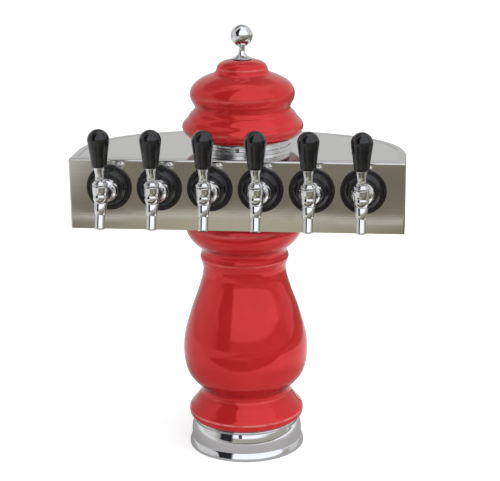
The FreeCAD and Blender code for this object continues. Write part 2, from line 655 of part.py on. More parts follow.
def lever():
    """Lever: rounded tip, ball with its cross pin, stem, shoulder and the thread for the handle."""
    tip = turned([
        [(0, SHANK_Z - TIP_R), (TIP_R * 0.72, SHANK_Z - TIP_R * 0.7), (TIP_R, SHANK_Z),
         (LEVER_TIP_STEM_R, SHANK_Z + 2)],
        [(LEVER_TIP_STEM_R, SHANK_Z + 2), (LEVER_TIP_STEM_R, LEVER_BALL_Z - 5)],
        [(LEVER_TIP_STEM_R, LEVER_BALL_Z - 5), (0, LEVER_BALL_Z - 5)],
        [(0, LEVER_BALL_Z - 5), (0, SHANK_Z - TIP_R)],
    ])
    ball = Part.makeSphere(LEVER_BALL_R, V(0, 0, LEVER_BALL_Z))
    pin = bar_x(PIN_R, PIN_REACH, 0, LEVER_BALL_Z)
    stem = cylinder(LEVER_STEM_R, LEVER_BALL_Z, SHOULDER_Z + 0.5)
    shoulder = turned([
        [(0, SHOULDER_Z), (5.2, SHOULDER_Z)],
        [(5.2, SHOULDER_Z), (6.0, SHOULDER_Z + 0.3), (6.3, FERRULE_BOTTOM_Z)],
        [(6.3, FERRULE_BOTTOM_Z), (0, FERRULE_BOTTOM_Z)],
        [(0, FERRULE_BOTTOM_Z), (0, SHOULDER_Z)],
    ])
    thread = cylinder(LEVER_THREAD_R, FERRULE_BOTTOM_Z, KNOB_BOTTOM_Z + 14)
    whole = tip.fuse([ball, pin, stem, shoulder, thread])
    whole.translate(V(0, FAUCET_Y, 0))
    return whole


def ferrule():
    """Chrome ferrule that flares up to the handle."""
    body = turned([
        [(LEVER_THREAD_R + THREAD, FERRULE_BOTTOM_Z), (6.7, FERRULE_BOTTOM_Z)],
        [(6.7, FERRULE_BOTTOM_Z), (7.2, FERRULE_BOTTOM_Z + 5), (8.5, KNOB_BOTTOM_Z - 0.6)],
        [(8.5, KNOB_BOTTOM_Z - 0.6), (8.3, KNOB_BOTTOM_Z)],
        [(8.3, KNOB_BOTTOM_Z), (LEVER_THREAD_R + THREAD, KNOB_BOTTOM_Z)],
        [(LEVER_THREAD_R + THREAD, KNOB_BOTTOM_Z), (LEVER_THREAD_R + THREAD, FERRULE_BOTTOM_Z)],
    ])
    body.translate(V(0, FAUCET_Y, 0))
    return body


def handle():
    """Black moulded tap handle: a taper that swells into a round head."""
    centre = KNOB_TOP_Z - KNOB_R
    hole_top = KNOB_BOTTOM_Z + 16
    lean = math.radians(8)
    dome = [(KNOB_R * math.cos(a), centre + KNOB_R * math.sin(a))
            for a in (-lean, math.radians(20), math.radians(45), math.radians(70))]
    body = turned([
        [(LEVER_THREAD_R + THREAD, KNOB_BOTTOM_Z), (10.4, KNOB_BOTTOM_Z)],
        [(10.4, KNOB_BOTTOM_Z), (11.0, KNOB_BOTTOM_Z + 0.8), (11.5, KNOB_BOTTOM_Z + 3),
         (12.6, KNOB_BOTTOM_Z + 14), (14.6, KNOB_BOTTOM_Z + 28)] + dome + [(0, KNOB_TOP_Z)],
        [(0, KNOB_TOP_Z), (0, hole_top)],
        [(0, hole_top), (LEVER_THREAD_R + THREAD, hole_top)],
        [(LEVER_THREAD_R + THREAD, hole_top), (LEVER_THREAD_R + THREAD, KNOB_BOTTOM_Z)],
    ])
    body.translate(V(0, FAUCET_Y, 0))
    return body


def plunger():
    """Sliding valve shaft: slotted guide, thin stem and the cup behind the seat washer."""
    washer_back = SEAT_Y + SEAT_WASHER_THICK
    guide = GUIDE_R - RUNNING
    cup = SEAT_WASHER_R - 0.9
    body = along_shank([(0, FAUCET_Y - 9), (guide, FAUCET_Y - 9), (guide, FAUCET_Y + 7),
                        (PLUNGER_STEM_R, FAUCET_Y + 7), (PLUNGER_STEM_R, washer_back),
                        (cup, washer_back), (cup, washer_back + 2), (0, washer_back + 2)])
    slot = [(-TIP_SLOT, -TIP_SLOT - 0.4), (TIP_SLOT, -TIP_SLOT - 0.4), (TIP_SLOT, GUIDE_R + 1),
            (-5.4, GUIDE_R + 1), (-TIP_SLOT, 1.5)]
    corners = [V(-TIP_SLOT, FAUCET_Y + y, SHANK_Z + z) for y, z in slot + slot[:1]]
    pocket = Part.Face(Part.makePolygon(corners)).extrude(V(2 * TIP_SLOT, 0, 0))
    return body.cut(pocket)


def seat_washer():
    return facing_front(ring(PLUNGER_STEM_R + THREAD, SEAT_WASHER_R, -SEAT_Y - SEAT_WASHER_THICK, -SEAT_Y))


# ---- lines --------------------------------------------------------------------------------
def bent(points, radius):
    """Edges of a pipe route: straight runs joined by arcs of one radius."""
    corners = [V(*p) for p in points]
    edges = []
    last = corners[0]
    for before, corner, after in zip(corners, corners[1:], corners[2:]):
        back = (before - corner).normalize()
        ahead = (after - corner).normalize()
        half = back.getAngle(ahead) / 2
        run = radius / math.tan(half)
        inward = (back + ahead).normalize() * (radius / math.sin(half) - radius)
        arc_start = corner + back * run
        arc_end = corner + ahead * run
        edges.append(Part.makeLine(last, arc_start))
        edges.append(Part.Arc(arc_start, corner + inward, arc_end).toShape())
        last = arc_end
    edges.append(Part.makeLine(last, corners[-1]))
    return edges


def core_place(angle):
    a = math.radians(angle)
    return LINE_CIRCLE_R * math.cos(a), LINE_CIRCLE_R * math.sin(a)


def beer_lines():
    """Six hoses from the tailpieces into the core tube: inner, middle and outer pair."""
    routes = [
        (3, 67.5, 24, [], 425),
        (4, -67.5, 9, [], 425),
        (5, -22.5, 20, [(140, 20, 408)], 408),
    ]
    hoses = []
    for index, core_angle, turn_y, turns, drop_z in routes:
        x = faucet_x(index)
        core_x, core_y = core_place(core_angle)
        points = [(x, TAIL_Y + 8, SHANK_Z), (x, turn_y, SHANK_Z)] + turns
        points += [(core_x, core_y, drop_z), (core_x, core_y, LINE_BOTTOM_Z)]
        hose = swept(bent(points, BEER_BEND_R), BEER_OD_R, BEER_ID_R)
        hoses += [hose, hose.mirror(V(0, 0, 0), X_AXIS)]
    return Part.makeCompound(hoses)


def glycol_lines():
    """Glycol supply, return and the bend that joins the two bores of the cold block."""
    middle = BLOCK_FRONT_Y + BLOCK_DEPTH / 2
    inside = BLOCK_HALF_X - SOCKET_DEPTH
    low = SHANK_Z - GLYCOL_RISE
    high = SHANK_Z + GLYCOL_RISE
    turn_x = BLOCK_HALF_X + 20
    right_x, core_y = core_place(22.5)
    supply = [(inside, middle, low), (turn_x, middle, low), (turn_x, -10, 410), (170, 62, 404),
              (right_x, core_y, 404), (right_x, core_y, LINE_BOTTOM_Z)]
    back = [(inside, middle, high), (turn_x, middle, high), (turn_x, -10, 466), (160, 66, 450),
            (-right_x, 66, 430), (-right_x, core_y, 408), (-right_x, core_y, LINE_BOTTOM_Z)]
    loop_x = -BLOCK_HALF_X - GLYCOL_RISE
    loop = [(-inside, middle, high), (loop_x, middle, high), (loop_x, middle, low), (-inside, middle, low)]
    pipes = [swept(bent(route, GLYCOL_BEND_R), GLYCOL_OD_R, GLYCOL_ID_R) for route in (supply, back, loop)]
    return Part.makeCompound(pipes)


# ---- dome and finial ----------------------------------------------------------------------
def dome_spigot():
    """Aluminium ring screwed to the lid; it centres the collar and takes its set screws."""
    body = ring(SPIGOT_R - 10, SPIGOT_R, HEADER_TOP_Z, HEADER_TOP_Z + SPIGOT_HEIGHT)
    body = drilled(body, SPIGOT_SCREW_R + THREAD, spigot_screw_places(), HEADER_TOP_Z, HEADER_TOP_Z + 9)
    return with_set_screw_holes(body, SET_SCREW_COLLAR_Z)


def spigot_screws():
    """Three pan-head screws up through the lid into the spigot."""
    low = HEADER_TOP_Z - SHEET
    head = turned([
        [(0, low - 2.4), (2.6, low - 2.0), (3.7, low - 0.6)],
        [(3.7, low - 0.6), (3.7, low)],
        [(3.7, low), (0, low)],
        [(0, low), (0, low - 2.4)],
    ])
    screw = head.fuse(cylinder(SPIGOT_SCREW_R, low, low + 9))
    return Part.makeCompound([moved(screw, place) for place in spigot_screw_places()])


def dome_collar():
    """Chrome collar in the same stepped shape as the base, under the dome."""
    low = HEADER_TOP_Z
    bore = SPIGOT_R + 0.2
    ledge = low + SPIGOT_HEIGHT + 0.4
    body = turned([
        [(bore, low), (75, low)],
        [(75, low), (75.4, low + 0.4), (75.4, low + 1.2)],
        [(75.4, low + 1.2), (75.4, low + 4.6)],
        [(75.4, low + 4.6), (75, low + 5.6), (74, low + 6)],
        [(74, low + 6), (71.6, low + 6.4)],
        [(71.6, low + 6.4), (71.1, low + 8), (71.4, low + 9.8)],
        [(71.4, low + 9.8), (72.4, low + 10.8), (72.2, low + 14.4), (71, COLLAR_TOP_Z)],
        [(71, COLLAR_TOP_Z), (COLLAR_BOSS_R, COLLAR_TOP_Z)],
        [(COLLAR_BOSS_R, COLLAR_TOP_Z), (COLLAR_BOSS_R, ledge)],
        [(COLLAR_BOSS_R, ledge), (bore, ledge)],
        [(bore, ledge), (bore, low)],
    ])
    return with_set_screw_holes(body, SET_SCREW_COLLAR_Z)


def dome_ceramic():
    """Red glazed dome: lower roll, waist, upper bulge and a small cap."""
    low = COLLAR_TOP_Z + GASKET
    roll = [(82, low), (87.6, 510.2), (92, 516.4), (93.5, 523), (91.4, 529), (86.5, 533.4), (83.2, 537)]
    bulge = [(83.2, 537), (80.8, 542.5), (75.6, 547.6), (73.4, 552), (75.6, 558), (79.4, 565.5),
             (80.5, 573), (77.6, 583), (69, 592.4), (55, 600), (45, 604), (40.4, 608)]
    cap = [(40.4, 608), (38.9, 612), (37.2, 616.4), (32, 620.8), (23, 624), (10, DOME_TOP_Z)]
    rod_hole = ROD_R + LOOSE
    hollow = [(12, 610), (38, 598), (62, 586), (70, 572), (66, 552), (70, 534), (COLLAR_BOSS_R, 522)]
    return turned([
        roll, bulge, cap,
        [(10, DOME_TOP_Z), (rod_hole, DOME_TOP_Z)],
        [(rod_hole, DOME_TOP_Z), (rod_hole, 611)],
        [(rod_hole, 611), hollow[0]],
        hollow,
        [hollow[-1], (COLLAR_BOSS_R, low)],
        [(COLLAR_BOSS_R, low), roll[0]],
    ])


def tie_rod():
    """Threaded rod from the core tube's cross bar up to the finial."""
    return cylinder(ROD_R, TOP_FLANGE_Z - ROD_NUT_THICK - 3, ROD_TOP_Z)


def tie_rod_nuts():
    """Nuts below and above the cross bar."""
    nuts = []
    for low in (TOP_FLANGE_Z - ROD_NUT_THICK, TOP_FLANGE_Z + BRIDGE_THICK):
        high = low + ROD_NUT_THICK
        nuts.append(drilled(hexagon(ROD_NUT_HEX, low, high), ROD_R + THREAD, [V(0, 0, 0)], low, high))
    return Part.makeCompound(nuts)


def finial():
    """Chrome ball on a flared foot; screws down on the tie rod and clamps the dome."""
    bore = ROD_R + THREAD
    bore_end = ROD_TOP_Z + 0.5
    top = (0, FINIAL_BALL_Z + FINIAL_BALL_R)
    angles = [math.radians(a) for a in (-74, -50, -25, 0, 25, 50, 72)]
    ball = [(FINIAL_BALL_R * math.cos(a), FINIAL_BALL_Z + FINIAL_BALL_R * math.sin(a)) for a in angles]
    return turned([
        [(bore, DOME_TOP_Z), (16, DOME_TOP_Z)],
        [(16, DOME_TOP_Z), (15.8, 627.2), (11.6, 628.6), (7.9, 631), (5.7, 634.4), (4.8, 638), (4.6, 641),
         ball[0]],
        ball + [top],
        [top, (0, bore_end)],
        [(0, bore_end), (bore, bore_end)],
        [(bore, bore_end), (bore, DOME_TOP_Z)],
    ])


# ---- nodes --------------------------------------------------------------------------------
def main():
    os.makedirs(PARTS, exist_ok=True)
    nodes = {
        "base_ring": base_ring(),
        "base_flange": base_flange(),
        "set_screws": set_screws(),
        "ceramic_gaskets": ceramic_gaskets(),
        "column_ceramic": column_ceramic(),
        "column_foam": column_foam(),
        "core_tube": core_tube(),
        "header_bolts": header_bolts(),
        "header_shell": header_shell(),
        "header_lid": header_lid(),
        "cold_block": cold_block(),
        "shanks": at_each_faucet(shank()),
        "shank_flanges": at_each_faucet(shank_flange()),
        "shank_nuts": at_each_faucet(shank_nut()),
        "coupling_nuts": at_each_faucet(coupling_nut()),
        "faucet_bodies": at_each_faucet(faucet_body()),
        "faucet_bonnets": at_each_faucet(bonnet()),
        "ball_washers": at_each_faucet(ball_washer()),
        "tailpieces": at_each_faucet(tailpiece()),
        "tail_nuts": at_each_faucet(tail_nut()),
        "hose_clamps": at_each_faucet(hose_clamp()),
        "beer_lines": beer_lines(),
        "glycol_lines": glycol_lines(),
        "dome_spigot": dome_spigot(),
        "spigot_screws": spigot_screws(),
        "dome_collar": dome_collar(),
        "dome_ceramic": dome_ceramic(),
        "tie_rod": tie_rod(),
        "tie_rod_nuts": tie_rod_nuts(),
        "finial": finial(),
    }
    moving = {"handle": handle(), "ferrule": ferrule(), "lever": lever(),
              "plunger": plunger(), "seat_washer": seat_washer()}
    for i in range(FAUCET_COUNT):
        for name, solid in moving.items():
            nodes[f"faucet_{i + 1}_{name}"] = moved(solid, V(faucet_x(i), 0, 0))
    for name, shape in nodes.items():
        shape.exportStep(os.path.join(PARTS, name + ".step"))


main()
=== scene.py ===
import json
import math

import bmesh
import bpy
from mathutils import Matrix, Vector


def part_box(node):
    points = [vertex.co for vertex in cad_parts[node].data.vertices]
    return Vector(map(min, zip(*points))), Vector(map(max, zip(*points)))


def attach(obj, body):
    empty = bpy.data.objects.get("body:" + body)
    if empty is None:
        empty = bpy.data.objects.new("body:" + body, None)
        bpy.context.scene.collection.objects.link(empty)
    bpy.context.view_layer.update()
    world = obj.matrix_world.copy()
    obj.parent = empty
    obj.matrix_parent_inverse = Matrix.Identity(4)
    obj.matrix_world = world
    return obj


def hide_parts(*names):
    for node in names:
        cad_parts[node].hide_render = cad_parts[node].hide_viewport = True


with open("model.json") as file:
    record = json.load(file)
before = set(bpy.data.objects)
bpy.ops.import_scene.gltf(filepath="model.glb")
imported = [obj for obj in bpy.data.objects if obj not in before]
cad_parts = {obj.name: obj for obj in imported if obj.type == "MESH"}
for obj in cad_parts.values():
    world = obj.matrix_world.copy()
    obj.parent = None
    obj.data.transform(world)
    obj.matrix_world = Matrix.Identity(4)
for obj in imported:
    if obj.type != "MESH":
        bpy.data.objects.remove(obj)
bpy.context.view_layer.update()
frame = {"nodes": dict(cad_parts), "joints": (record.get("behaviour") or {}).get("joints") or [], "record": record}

# ---- places from the frame, in metres -------------------------------------------------------
MM = 0.001
X = Vector((1, 0, 0))

lever_joints = [j for j in frame["joints"] if j["type"] == "hinge"]
faucet_x = [j["pos_m"][0] for j in lever_joints]
ball_centre = Vector(lever_joints[0]["pos_m"])
handle_low, handle_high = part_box("faucet_1_handle")
flange_low, flange_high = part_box("shank_flanges")
panel_y = flange_high.y
shank_z = (flange_low.z + flange_high.z) / 2
lever_y = ball_centre.y
spout_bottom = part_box("faucet_bodies")[0].z

# ---- sizes of the pieces, in millimetres and degrees ----------------------------------------
SCREW_ANGLES = (-90, 30, 150)    # set screws of the plinth and of the dome's collar
SCREW_HOLE_R = 3.1
SCREW_HOLE_DEPTH = 16.0
PLINTH_SCREWS = (40.0, 85.0)     # height and radius at which the screw holes open
COLLAR_SCREWS = (8.5, 71.5)
FINIAL_THROAT = -72.0            # where the finial's ball meets its neck

BODY_REAR = 20.0                 # from the panel's front to the rear face of the faucet body
MELT = 0.55                      # voxel that melts barrel, collar and spout into one skin
KNEE = (-6.0, -23.4)             # (y, z) of the spout's knee from where the lever and shank axes meet
TIP_R = 7.2                      # straight end of the spout: outer radius, bore, forward lean
TIP_BORE_R = 5.5
TIP_LEAN = 20.0
GUIDE_R = 2.8                    # bores along the shank axis: plunger guide, passage, washer chamber
PASSAGE_R = 6.4
CHAMBER_R = 8.7
CHAMBER_DEPTH = 10.0
SLOT_R = 4.0                     # room for the lever's tip, stretched along the tap's depth
SLOT_STRETCH = 2.25
SLOT_Y = 3.7

BALL_R = 7.0                     # lever ball
SOCKET_R = 7.3                   # its seat in the body
PIN_R = 1.5                      # cross pin through the ball
PIN_REACH = 8.2
PIN_ROOM = (1.8, 9.0)            # radius and reach of the pin's groove
ROOF_R = 10.6                    # roof of the bonnet, about the ball's centre
NECK_GAP = 0.3                   # between the roof and the lever's shoulder
BONNET_FOOT = 0.9                # lower edge of the bonnet above the ball's centre
THREAD_R = 4.7                   # threaded end of the lever, inside ferrule and handle
THREAD_FIT = 0.05
THREAD_TOP = 42.0                # above the ball's centre

SPANNER_HOLE_R = 2.0             # four holes in the coupling nut's dome
SPANNER_HOLE_LEAN = 60.0
SPANNER_HOLE_FOOT = (13.6, 13.0)
SPANNER_TURN = -20

TINY = 1e-4                      # points closer than this count as one
CORNER = 12                      # turns smaller than this are not rounded


# ---- mesh helpers ---------------------------------------------------------------------------
def new_object(name, mesh):
    obj = bpy.data.objects.new(name, mesh)
    bpy.context.scene.collection.objects.link(obj)
    return obj


def spline(points, steps):
    """Centripetal Catmull-Rom curve through the points."""
    pts = [Vector(p) for p in points]
    pts = [pts[0] * 2 - pts[1]] + pts + [pts[-1] * 2 - pts[-2]]
    out = []
    for p0, p1, p2, p3 in zip(pts, pts[1:], pts[2:], pts[3:]):
        t1 = (p1 - p0).length ** 0.5
        t2 = t1 + (p2 - p1).length ** 0.5
        t3 = t2 + (p3 - p2).length ** 0.5
        for s in range(steps):
            t = t1 + (t2 - t1) * s / steps
            a1 = p0.lerp(p1, t / t1)
            a2 = p1.lerp(p2, (t - t1) / (t2 - t1))
            a3 = p2.lerp(p3, (t - t2) / (t3 - t2))
            b1 = a1.lerp(a2, t / t2)
            b2 = a2.lerp(a3, (t - t1) / (t3 - t1))
            out.append(b1.lerp(b2, (t - t1) / (t2 - t1)))
    return out + [pts[-2]]


def outline(stretches, edge=0.4, steps=6):
    """Dense (radius, height) points from stretches; corners between stretches are rounded by edge."""
    runs = [spline(s, steps) if len(s) > 2 else [Vector(p) for p in s] for s in stretches]
    for before, after in zip(runs, runs[1:]):
        corner = before[-1].copy()
        turn = (before[-1] - before[-2]).angle(after[1] - after[0], 0)
        if turn < math.radians(CORNER):
            continue
        cuts = []
        for run, last in ((before, -1), (after, 0)):
            ordered = run[::-1] if last == -1 else run[:]
            cut = min(edge, (ordered[0] - ordered[-1]).length * 0.45)
            while len(ordered) > 2 and (ordered[1] - corner).length <= cut:
                ordered.pop(1)
            ordered[0] = corner + (ordered[1] - corner).normalized() * cut
            cuts.append(ordered[0].copy())
            run[:] = ordered[::-1] if last == -1 else ordered
        for t in (0.25, 0.5, 0.75):
            blend = cuts[0] * (1 - t) ** 2 + corner * 2 * t * (1 - t) + cuts[1] * t ** 2
            before.append(blend)
    points = [p for run in runs for p in run]
    clean = [points[0]]
    for p in points[1:]:
        if (p - clean[-1]).length > TINY:
            clean.append(p)
    return clean


def lathe(name, points, segments=128, closed=True):
    """Mesh turned about Z from (radius, height) points in millimetres.
    A closed outline is a ring; an open one starts and ends on the axis."""
    bm = bmesh.new()
    rings = []
    for r, z in ((p[0], p[1]) for p in points):
        if r < TINY:
            rings.append([bm.verts.new((0, 0, z * MM))])
            continue
        rings.append([bm.verts.new((r * MM * math.cos(a), r * MM * math.sin(a), z * MM))
                      for a in (2 * math.pi * i / segments for i in range(segments))])
    pairs = list(zip(rings, rings[1:]))
    if closed:
        pairs.append((rings[-1], rings[0]))
    for low, high in pairs:
        if len(low) == 1 and len(high) == 1:
            continue
        for i in range(segments):
            j = (i + 1) % segments
            if len(low) == 1:
                bm.faces.new((low[0], high[j], high[i]))
            elif len(high) == 1:
                bm.faces.new((low[i], low[j], high[0]))
            else:
                bm.faces.new((low[i], low[j], high[j], high[i]))
    bmesh.ops.recalc_face_normals(bm, faces=bm.faces)
    mesh = bpy.data.meshes.new(name)
    bm.to_mesh(mesh)
    bm.free()
    smooth(mesh)
    return mesh


def smooth(mesh, angle=38):
    mesh.shade_smooth()
    mesh.set_sharp_from_angle(angle=math.radians(angle))


def pin_shape(name, radius, low, high, segments):
    """Round bar about Z."""
    return lathe(name, [(0, low), (radius, low), (radius, high), (0, high)], segments, closed=False)


def front_facing(mesh):
    """Turns a mesh lathed about Z so that its axis is the shank axis and its top faces -Y."""
    mesh.transform(Matrix.Rotation(math.radians(90), 4, "X"))
    return mesh


def place(name, mesh, material, body, nodes, offset=(0, 0, 0)):
    """Adds a piece with its material and body, and hides the CAD nodes it stands for."""
    obj = new_object(name, mesh)
    obj.location = offset
    if not mesh.materials:
        mesh.materials.append(material)
    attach(obj, body)
    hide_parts(*nodes)


def boolean(mesh, cutters, name):
    """Cuts the cutter meshes out of a mesh and returns the result as a new mesh."""
    base = new_object(name + "_base", mesh)
    for i, cutter in enumerate(cutters):
        tool = new_object(f"{name}_tool_{i}", cutter)
        mod = base.modifiers.new("cut", "BOOLEAN")
        mod.operation = "DIFFERENCE"
        mod.solver = "EXACT"
        mod.object = tool
    graph = bpy.context.evaluated_depsgraph_get()
    result = bpy.data.meshes.new_from_object(base.evaluated_get(graph))
    for obj in [base] + [m.object for m in base.modifiers]:
        bpy.data.objects.remove(obj)
    result.name = name
    return result


# ---- material helpers -----------------------------------------------------------------------
class Nodes:
    """Small wrapper that adds and links shader nodes."""

    def __init__(self, tree):
        self.tree = tree
        tree.nodes.clear()

    def add(self, kind, inputs=None, **settings):
        node = self.tree.nodes.new(kind)
        for key, value in settings.items():
            setattr(node, key, value)
        for key, value in (inputs or {}).items():
            self.put(node, key, value)
        return node

    def put(self, node, key, value):
        if isinstance(value, bpy.types.NodeSocket):
            self.tree.links.new(value, node.inputs[key])
        else:
            node.inputs[key].default_value = value

    def math(self, operation, a, b=0.0):
        node = self.add("ShaderNodeMath", {0: a, 1: b}, operation=operation)
        return node.outputs[0]

    def mix(self, factor, a, b):
        node = self.add("ShaderNodeMix", data_type="RGBA")
        for index, value in ((0, factor), (6, a), (7, b)):
            self.put(node, index, value)
        return node.outputs[2]

    def span(self, value, low, high, to_low=0.0, to_high=1.0):
        """Smooth step: to_low where the value is at low, to_high where it is at high."""
        inputs = {0: value, 1: low, 2: high, 3: to_low, 4: to_high}
        node = self.add("ShaderNodeMapRange", inputs, interpolation_type="SMOOTHSTEP")
        return node.outputs[0]

    def noise(self, vector, scale, detail=3.0, roughness=0.5):
        node = self.add("ShaderNodeTexNoise",
                        {"Vector": vector, "Scale": scale, "Detail": detail, "Roughness": roughness})
        return node.outputs["Fac"]

    def stretch(self, vector, scale):
        node = self.add("ShaderNodeMapping", {"Vector": vector, "Scale": scale})
        return node.outputs[0]


def rgba(colour):
    return (*colour, 1.0)


def finish_material(name, build):
    """New material whose principled shader is filled in by build(nodes, coordinates)."""
    mat = bpy.data.materials.new(name)
    mat.use_nodes = True
    n = Nodes(mat.node_tree)
    coords = n.add("ShaderNodeTexCoord").outputs["Object"]
    shader = n.add("ShaderNodeBsdfPrincipled", build(n, coords))
    out = n.add("ShaderNodeOutputMaterial")
    mat.node_tree.links.new(shader.outputs[0], out.inputs[0])
    return mat


def bump(n, height, strength, distance):
    inputs = {"Height": height, "Strength": strength, "Distance": distance}
    return n.add("ShaderNodeBump", inputs).outputs[0]


def red_glaze(name, thin_glaze_and_highlight_lines):
    """Thick glossy red glaze: mirrors the room in red. Pink lines at set heights are partly thin glaze
    over rims and partly painted highlights. Each line is (height above the piece's foot, half width,
    strength), the first two in millimetres. In reflections the glaze is painted a darker red, a painted
    shade that chrome beside it mirrors."""
    def build(n, co):
        cloud = n.noise(co, 9.0, 4.0, 0.55)
        flecks = n.noise(co, 420.0, 2.0, 0.6)
        patchy = n.span(n.noise(co, 60.0, 2.0, 0.5), 0.35, 0.6, 0.45, 1.0)
        height = n.add("ShaderNodeSeparateXYZ", {0: co}).outputs[2]
        base = n.mix(n.span(cloud, 0.35, 0.7), rgba((0.51, 0.019, 0.022)), rgba((0.60, 0.028, 0.030)))
        base = n.mix(n.span(flecks, 0.70, 0.80, 0.0, 0.2), base, rgba((0.30, 0.008, 0.010)))
        # pink lines: thin glaze over rims, with painted highlights laid along the same bands
        for z, half_width, strength in thin_glaze_and_highlight_lines:
            off = n.math("ABSOLUTE", n.math("SUBTRACT", height, z * MM))
            line = n.math("MULTIPLY", n.span(off, half_width * MM, 0.0, 0.0, strength), patchy)
            base = n.mix(line, base, rgba((0.80, 0.30, 0.28)))
        # painted shade: glossy rays see the glaze darker, so chrome beside it mirrors a darker red
        in_mirror = n.add("ShaderNodeLightPath").outputs["Is Glossy Ray"]
        base = n.mix(n.math("MULTIPLY", in_mirror, 0.75), base, rgba((0.03, 0.012, 0.012)))
        peel = n.noise(co, 38.0, 2.0, 0.4)
        rippled = bump(n, peel, 0.11, 0.0014)
        return {"Base Color": base, "Metallic": 0.31, "Roughness": n.span(cloud, 0.3, 0.7, 0.04, 0.08),
                "Specular IOR Level": 0.1, "Specular Tint": rgba((0.90, 0.12, 0.12)),
                "Coat Weight": 1.0, "Coat IOR": 1.33,
                "Coat Roughness": n.span(peel, 0.3, 0.7, 0.01, 0.03),
                "Coat Normal": rippled, "Normal": rippled}
    return finish_material(name, build)


def chrome(name, tint=(0.93, 0.935, 0.945), rough=0.05, wave=0.05):
    """Plated chrome: mirror with faint smudges, hairline wiping marks and slight waviness."""
    def build(n, co):
        smudge = n.noise(co, 45.0, 4.0, 0.6)
        hairs = n.noise(n.stretch(co, (1.0, 1.0, 0.06)), 2600.0, 1.0, 0.5)
        broad = n.noise(co, 28.0, 1.0, 0.3)
        base = n.mix(n.span(smudge, 0.45, 0.8, 0.0, 0.35), rgba(tint), rgba([c * 0.86 for c in tint]))
        roughness = n.math("ADD", n.span(smudge, 0.4, 0.75, rough, rough + 0.07),
                           n.span(hairs, 0.62, 0.75, 0.0, 0.05))
        return {"Base Color": base, "Metallic": 1.0, "Roughness": roughness,
                "Normal": bump(n, broad, wave, 0.0012)}
    return finish_material(name, build)


def stainless(name, tint, rough, grain):
    """Polished sheet: fine grain along X, soft oil-canning of the sheet, finger marks."""
    def build(n, co):
        lines = n.noise(n.stretch(co, (3.0, 900.0, 900.0)), 1.0, 3.0, 0.6)
        fine = n.noise(n.stretch(co, (12.0, 3600.0, 3600.0)), 1.0, 1.0, 0.5)
        sheet = n.noise(n.stretch(co, (3.2, 3.2, 8.0)), 1.0, 1.0, 0.3)
        marks = n.noise(co, 16.0, 4.0, 0.65)
        base = n.mix(n.span(lines, 0.3, 0.7), rgba([c * 0.94 for c in tint]), rgba(tint))
        roughness = n.math("ADD", n.span(marks, 0.4, 0.75, rough, rough + 0.06),
                           n.math("MULTIPLY", fine, grain * 0.3))
        rippled = bump(n, sheet, 0.25, 0.0022)
        grained = n.add("ShaderNodeBump", {"Height": lines, "Strength": grain, "Distance": 0.0001,
                                           "Normal": rippled}).outputs[0]
        return {"Base Color": base, "Metallic": 1.0, "Roughness": roughness,
                "Anisotropic": 0.35, "Normal": grained}
    return finish_material(name, build)


def black_plastic(name, rough, pebble):
    """Black moulded plastic with fine scratches and a faint moulding texture."""
    def build(n, co):
        cloud = n.noise(co, 90.0, 4.0, 0.6)
        scratches = n.noise(n.stretch(co, (1400.0, 1400.0, 60.0)), 1.0, 1.0, 0.5)
        grain = n.noise(co, 1500.0, 2.0, 0.5)
        dark, light = rgba((0.004, 0.004, 0.005)), rgba((0.009, 0.009, 0.010))
        base = n.mix(n.span(cloud, 0.35, 0.75), dark, light)
        base = n.mix(n.span(scratches, 0.70, 0.78, 0.0, 0.2), base, rgba((0.04, 0.04, 0.042)))
        return {"Base Color": base, "Roughness": n.span(cloud, 0.3, 0.75, rough, rough + 0.10),
                "Specular IOR Level": 0.55, "Coat Weight": 0.25, "Coat Roughness": rough * 0.6,
                "Normal": bump(n, grain, pebble, 0.0002)}
    return finish_material(name, build)


def worked_metal(name, tint, rough, rings=900.0):
    """Turned or milled metal with tool marks and a little tarnish."""
    def build(n, co):
        marks = n.noise(n.stretch(co, (40.0, rings, rings)), 1.0, 2.0, 0.5)
        stain = n.noise(co, 60.0, 4.0, 0.6)
        base = n.mix(n.span(stain, 0.4, 0.8, 0.0, 0.6), rgba(tint), rgba([c * 0.72 for c in tint]))
        return {"Base Color": base, "Metallic": 1.0,
                "Roughness": n.span(stain, 0.3, 0.8, rough, rough + 0.16),
                "Normal": bump(n, marks, 0.15, 0.0002)}
    return finish_material(name, build)


def plain_solid(name, tint, rough, grain_scale, strength):
    """Rubber, foam, hose and other non-metals: mottled colour with a fine surface grain."""
    def build(n, co):
        cloud = n.noise(co, grain_scale * 0.1, 4.0, 0.6)
        grain = n.noise(co, grain_scale, 3.0, 0.6)
        base = n.mix(n.span(cloud, 0.3, 0.7), rgba([c * 0.85 for c in tint]), rgba(tint))
        return {"Base Color": base, "Roughness": n.span(grain, 0.3, 0.7, rough - 0.05, rough + 0.08),
                "Normal": bump(n, grain, strength, 0.0004)}
    return finish_material(name, build)


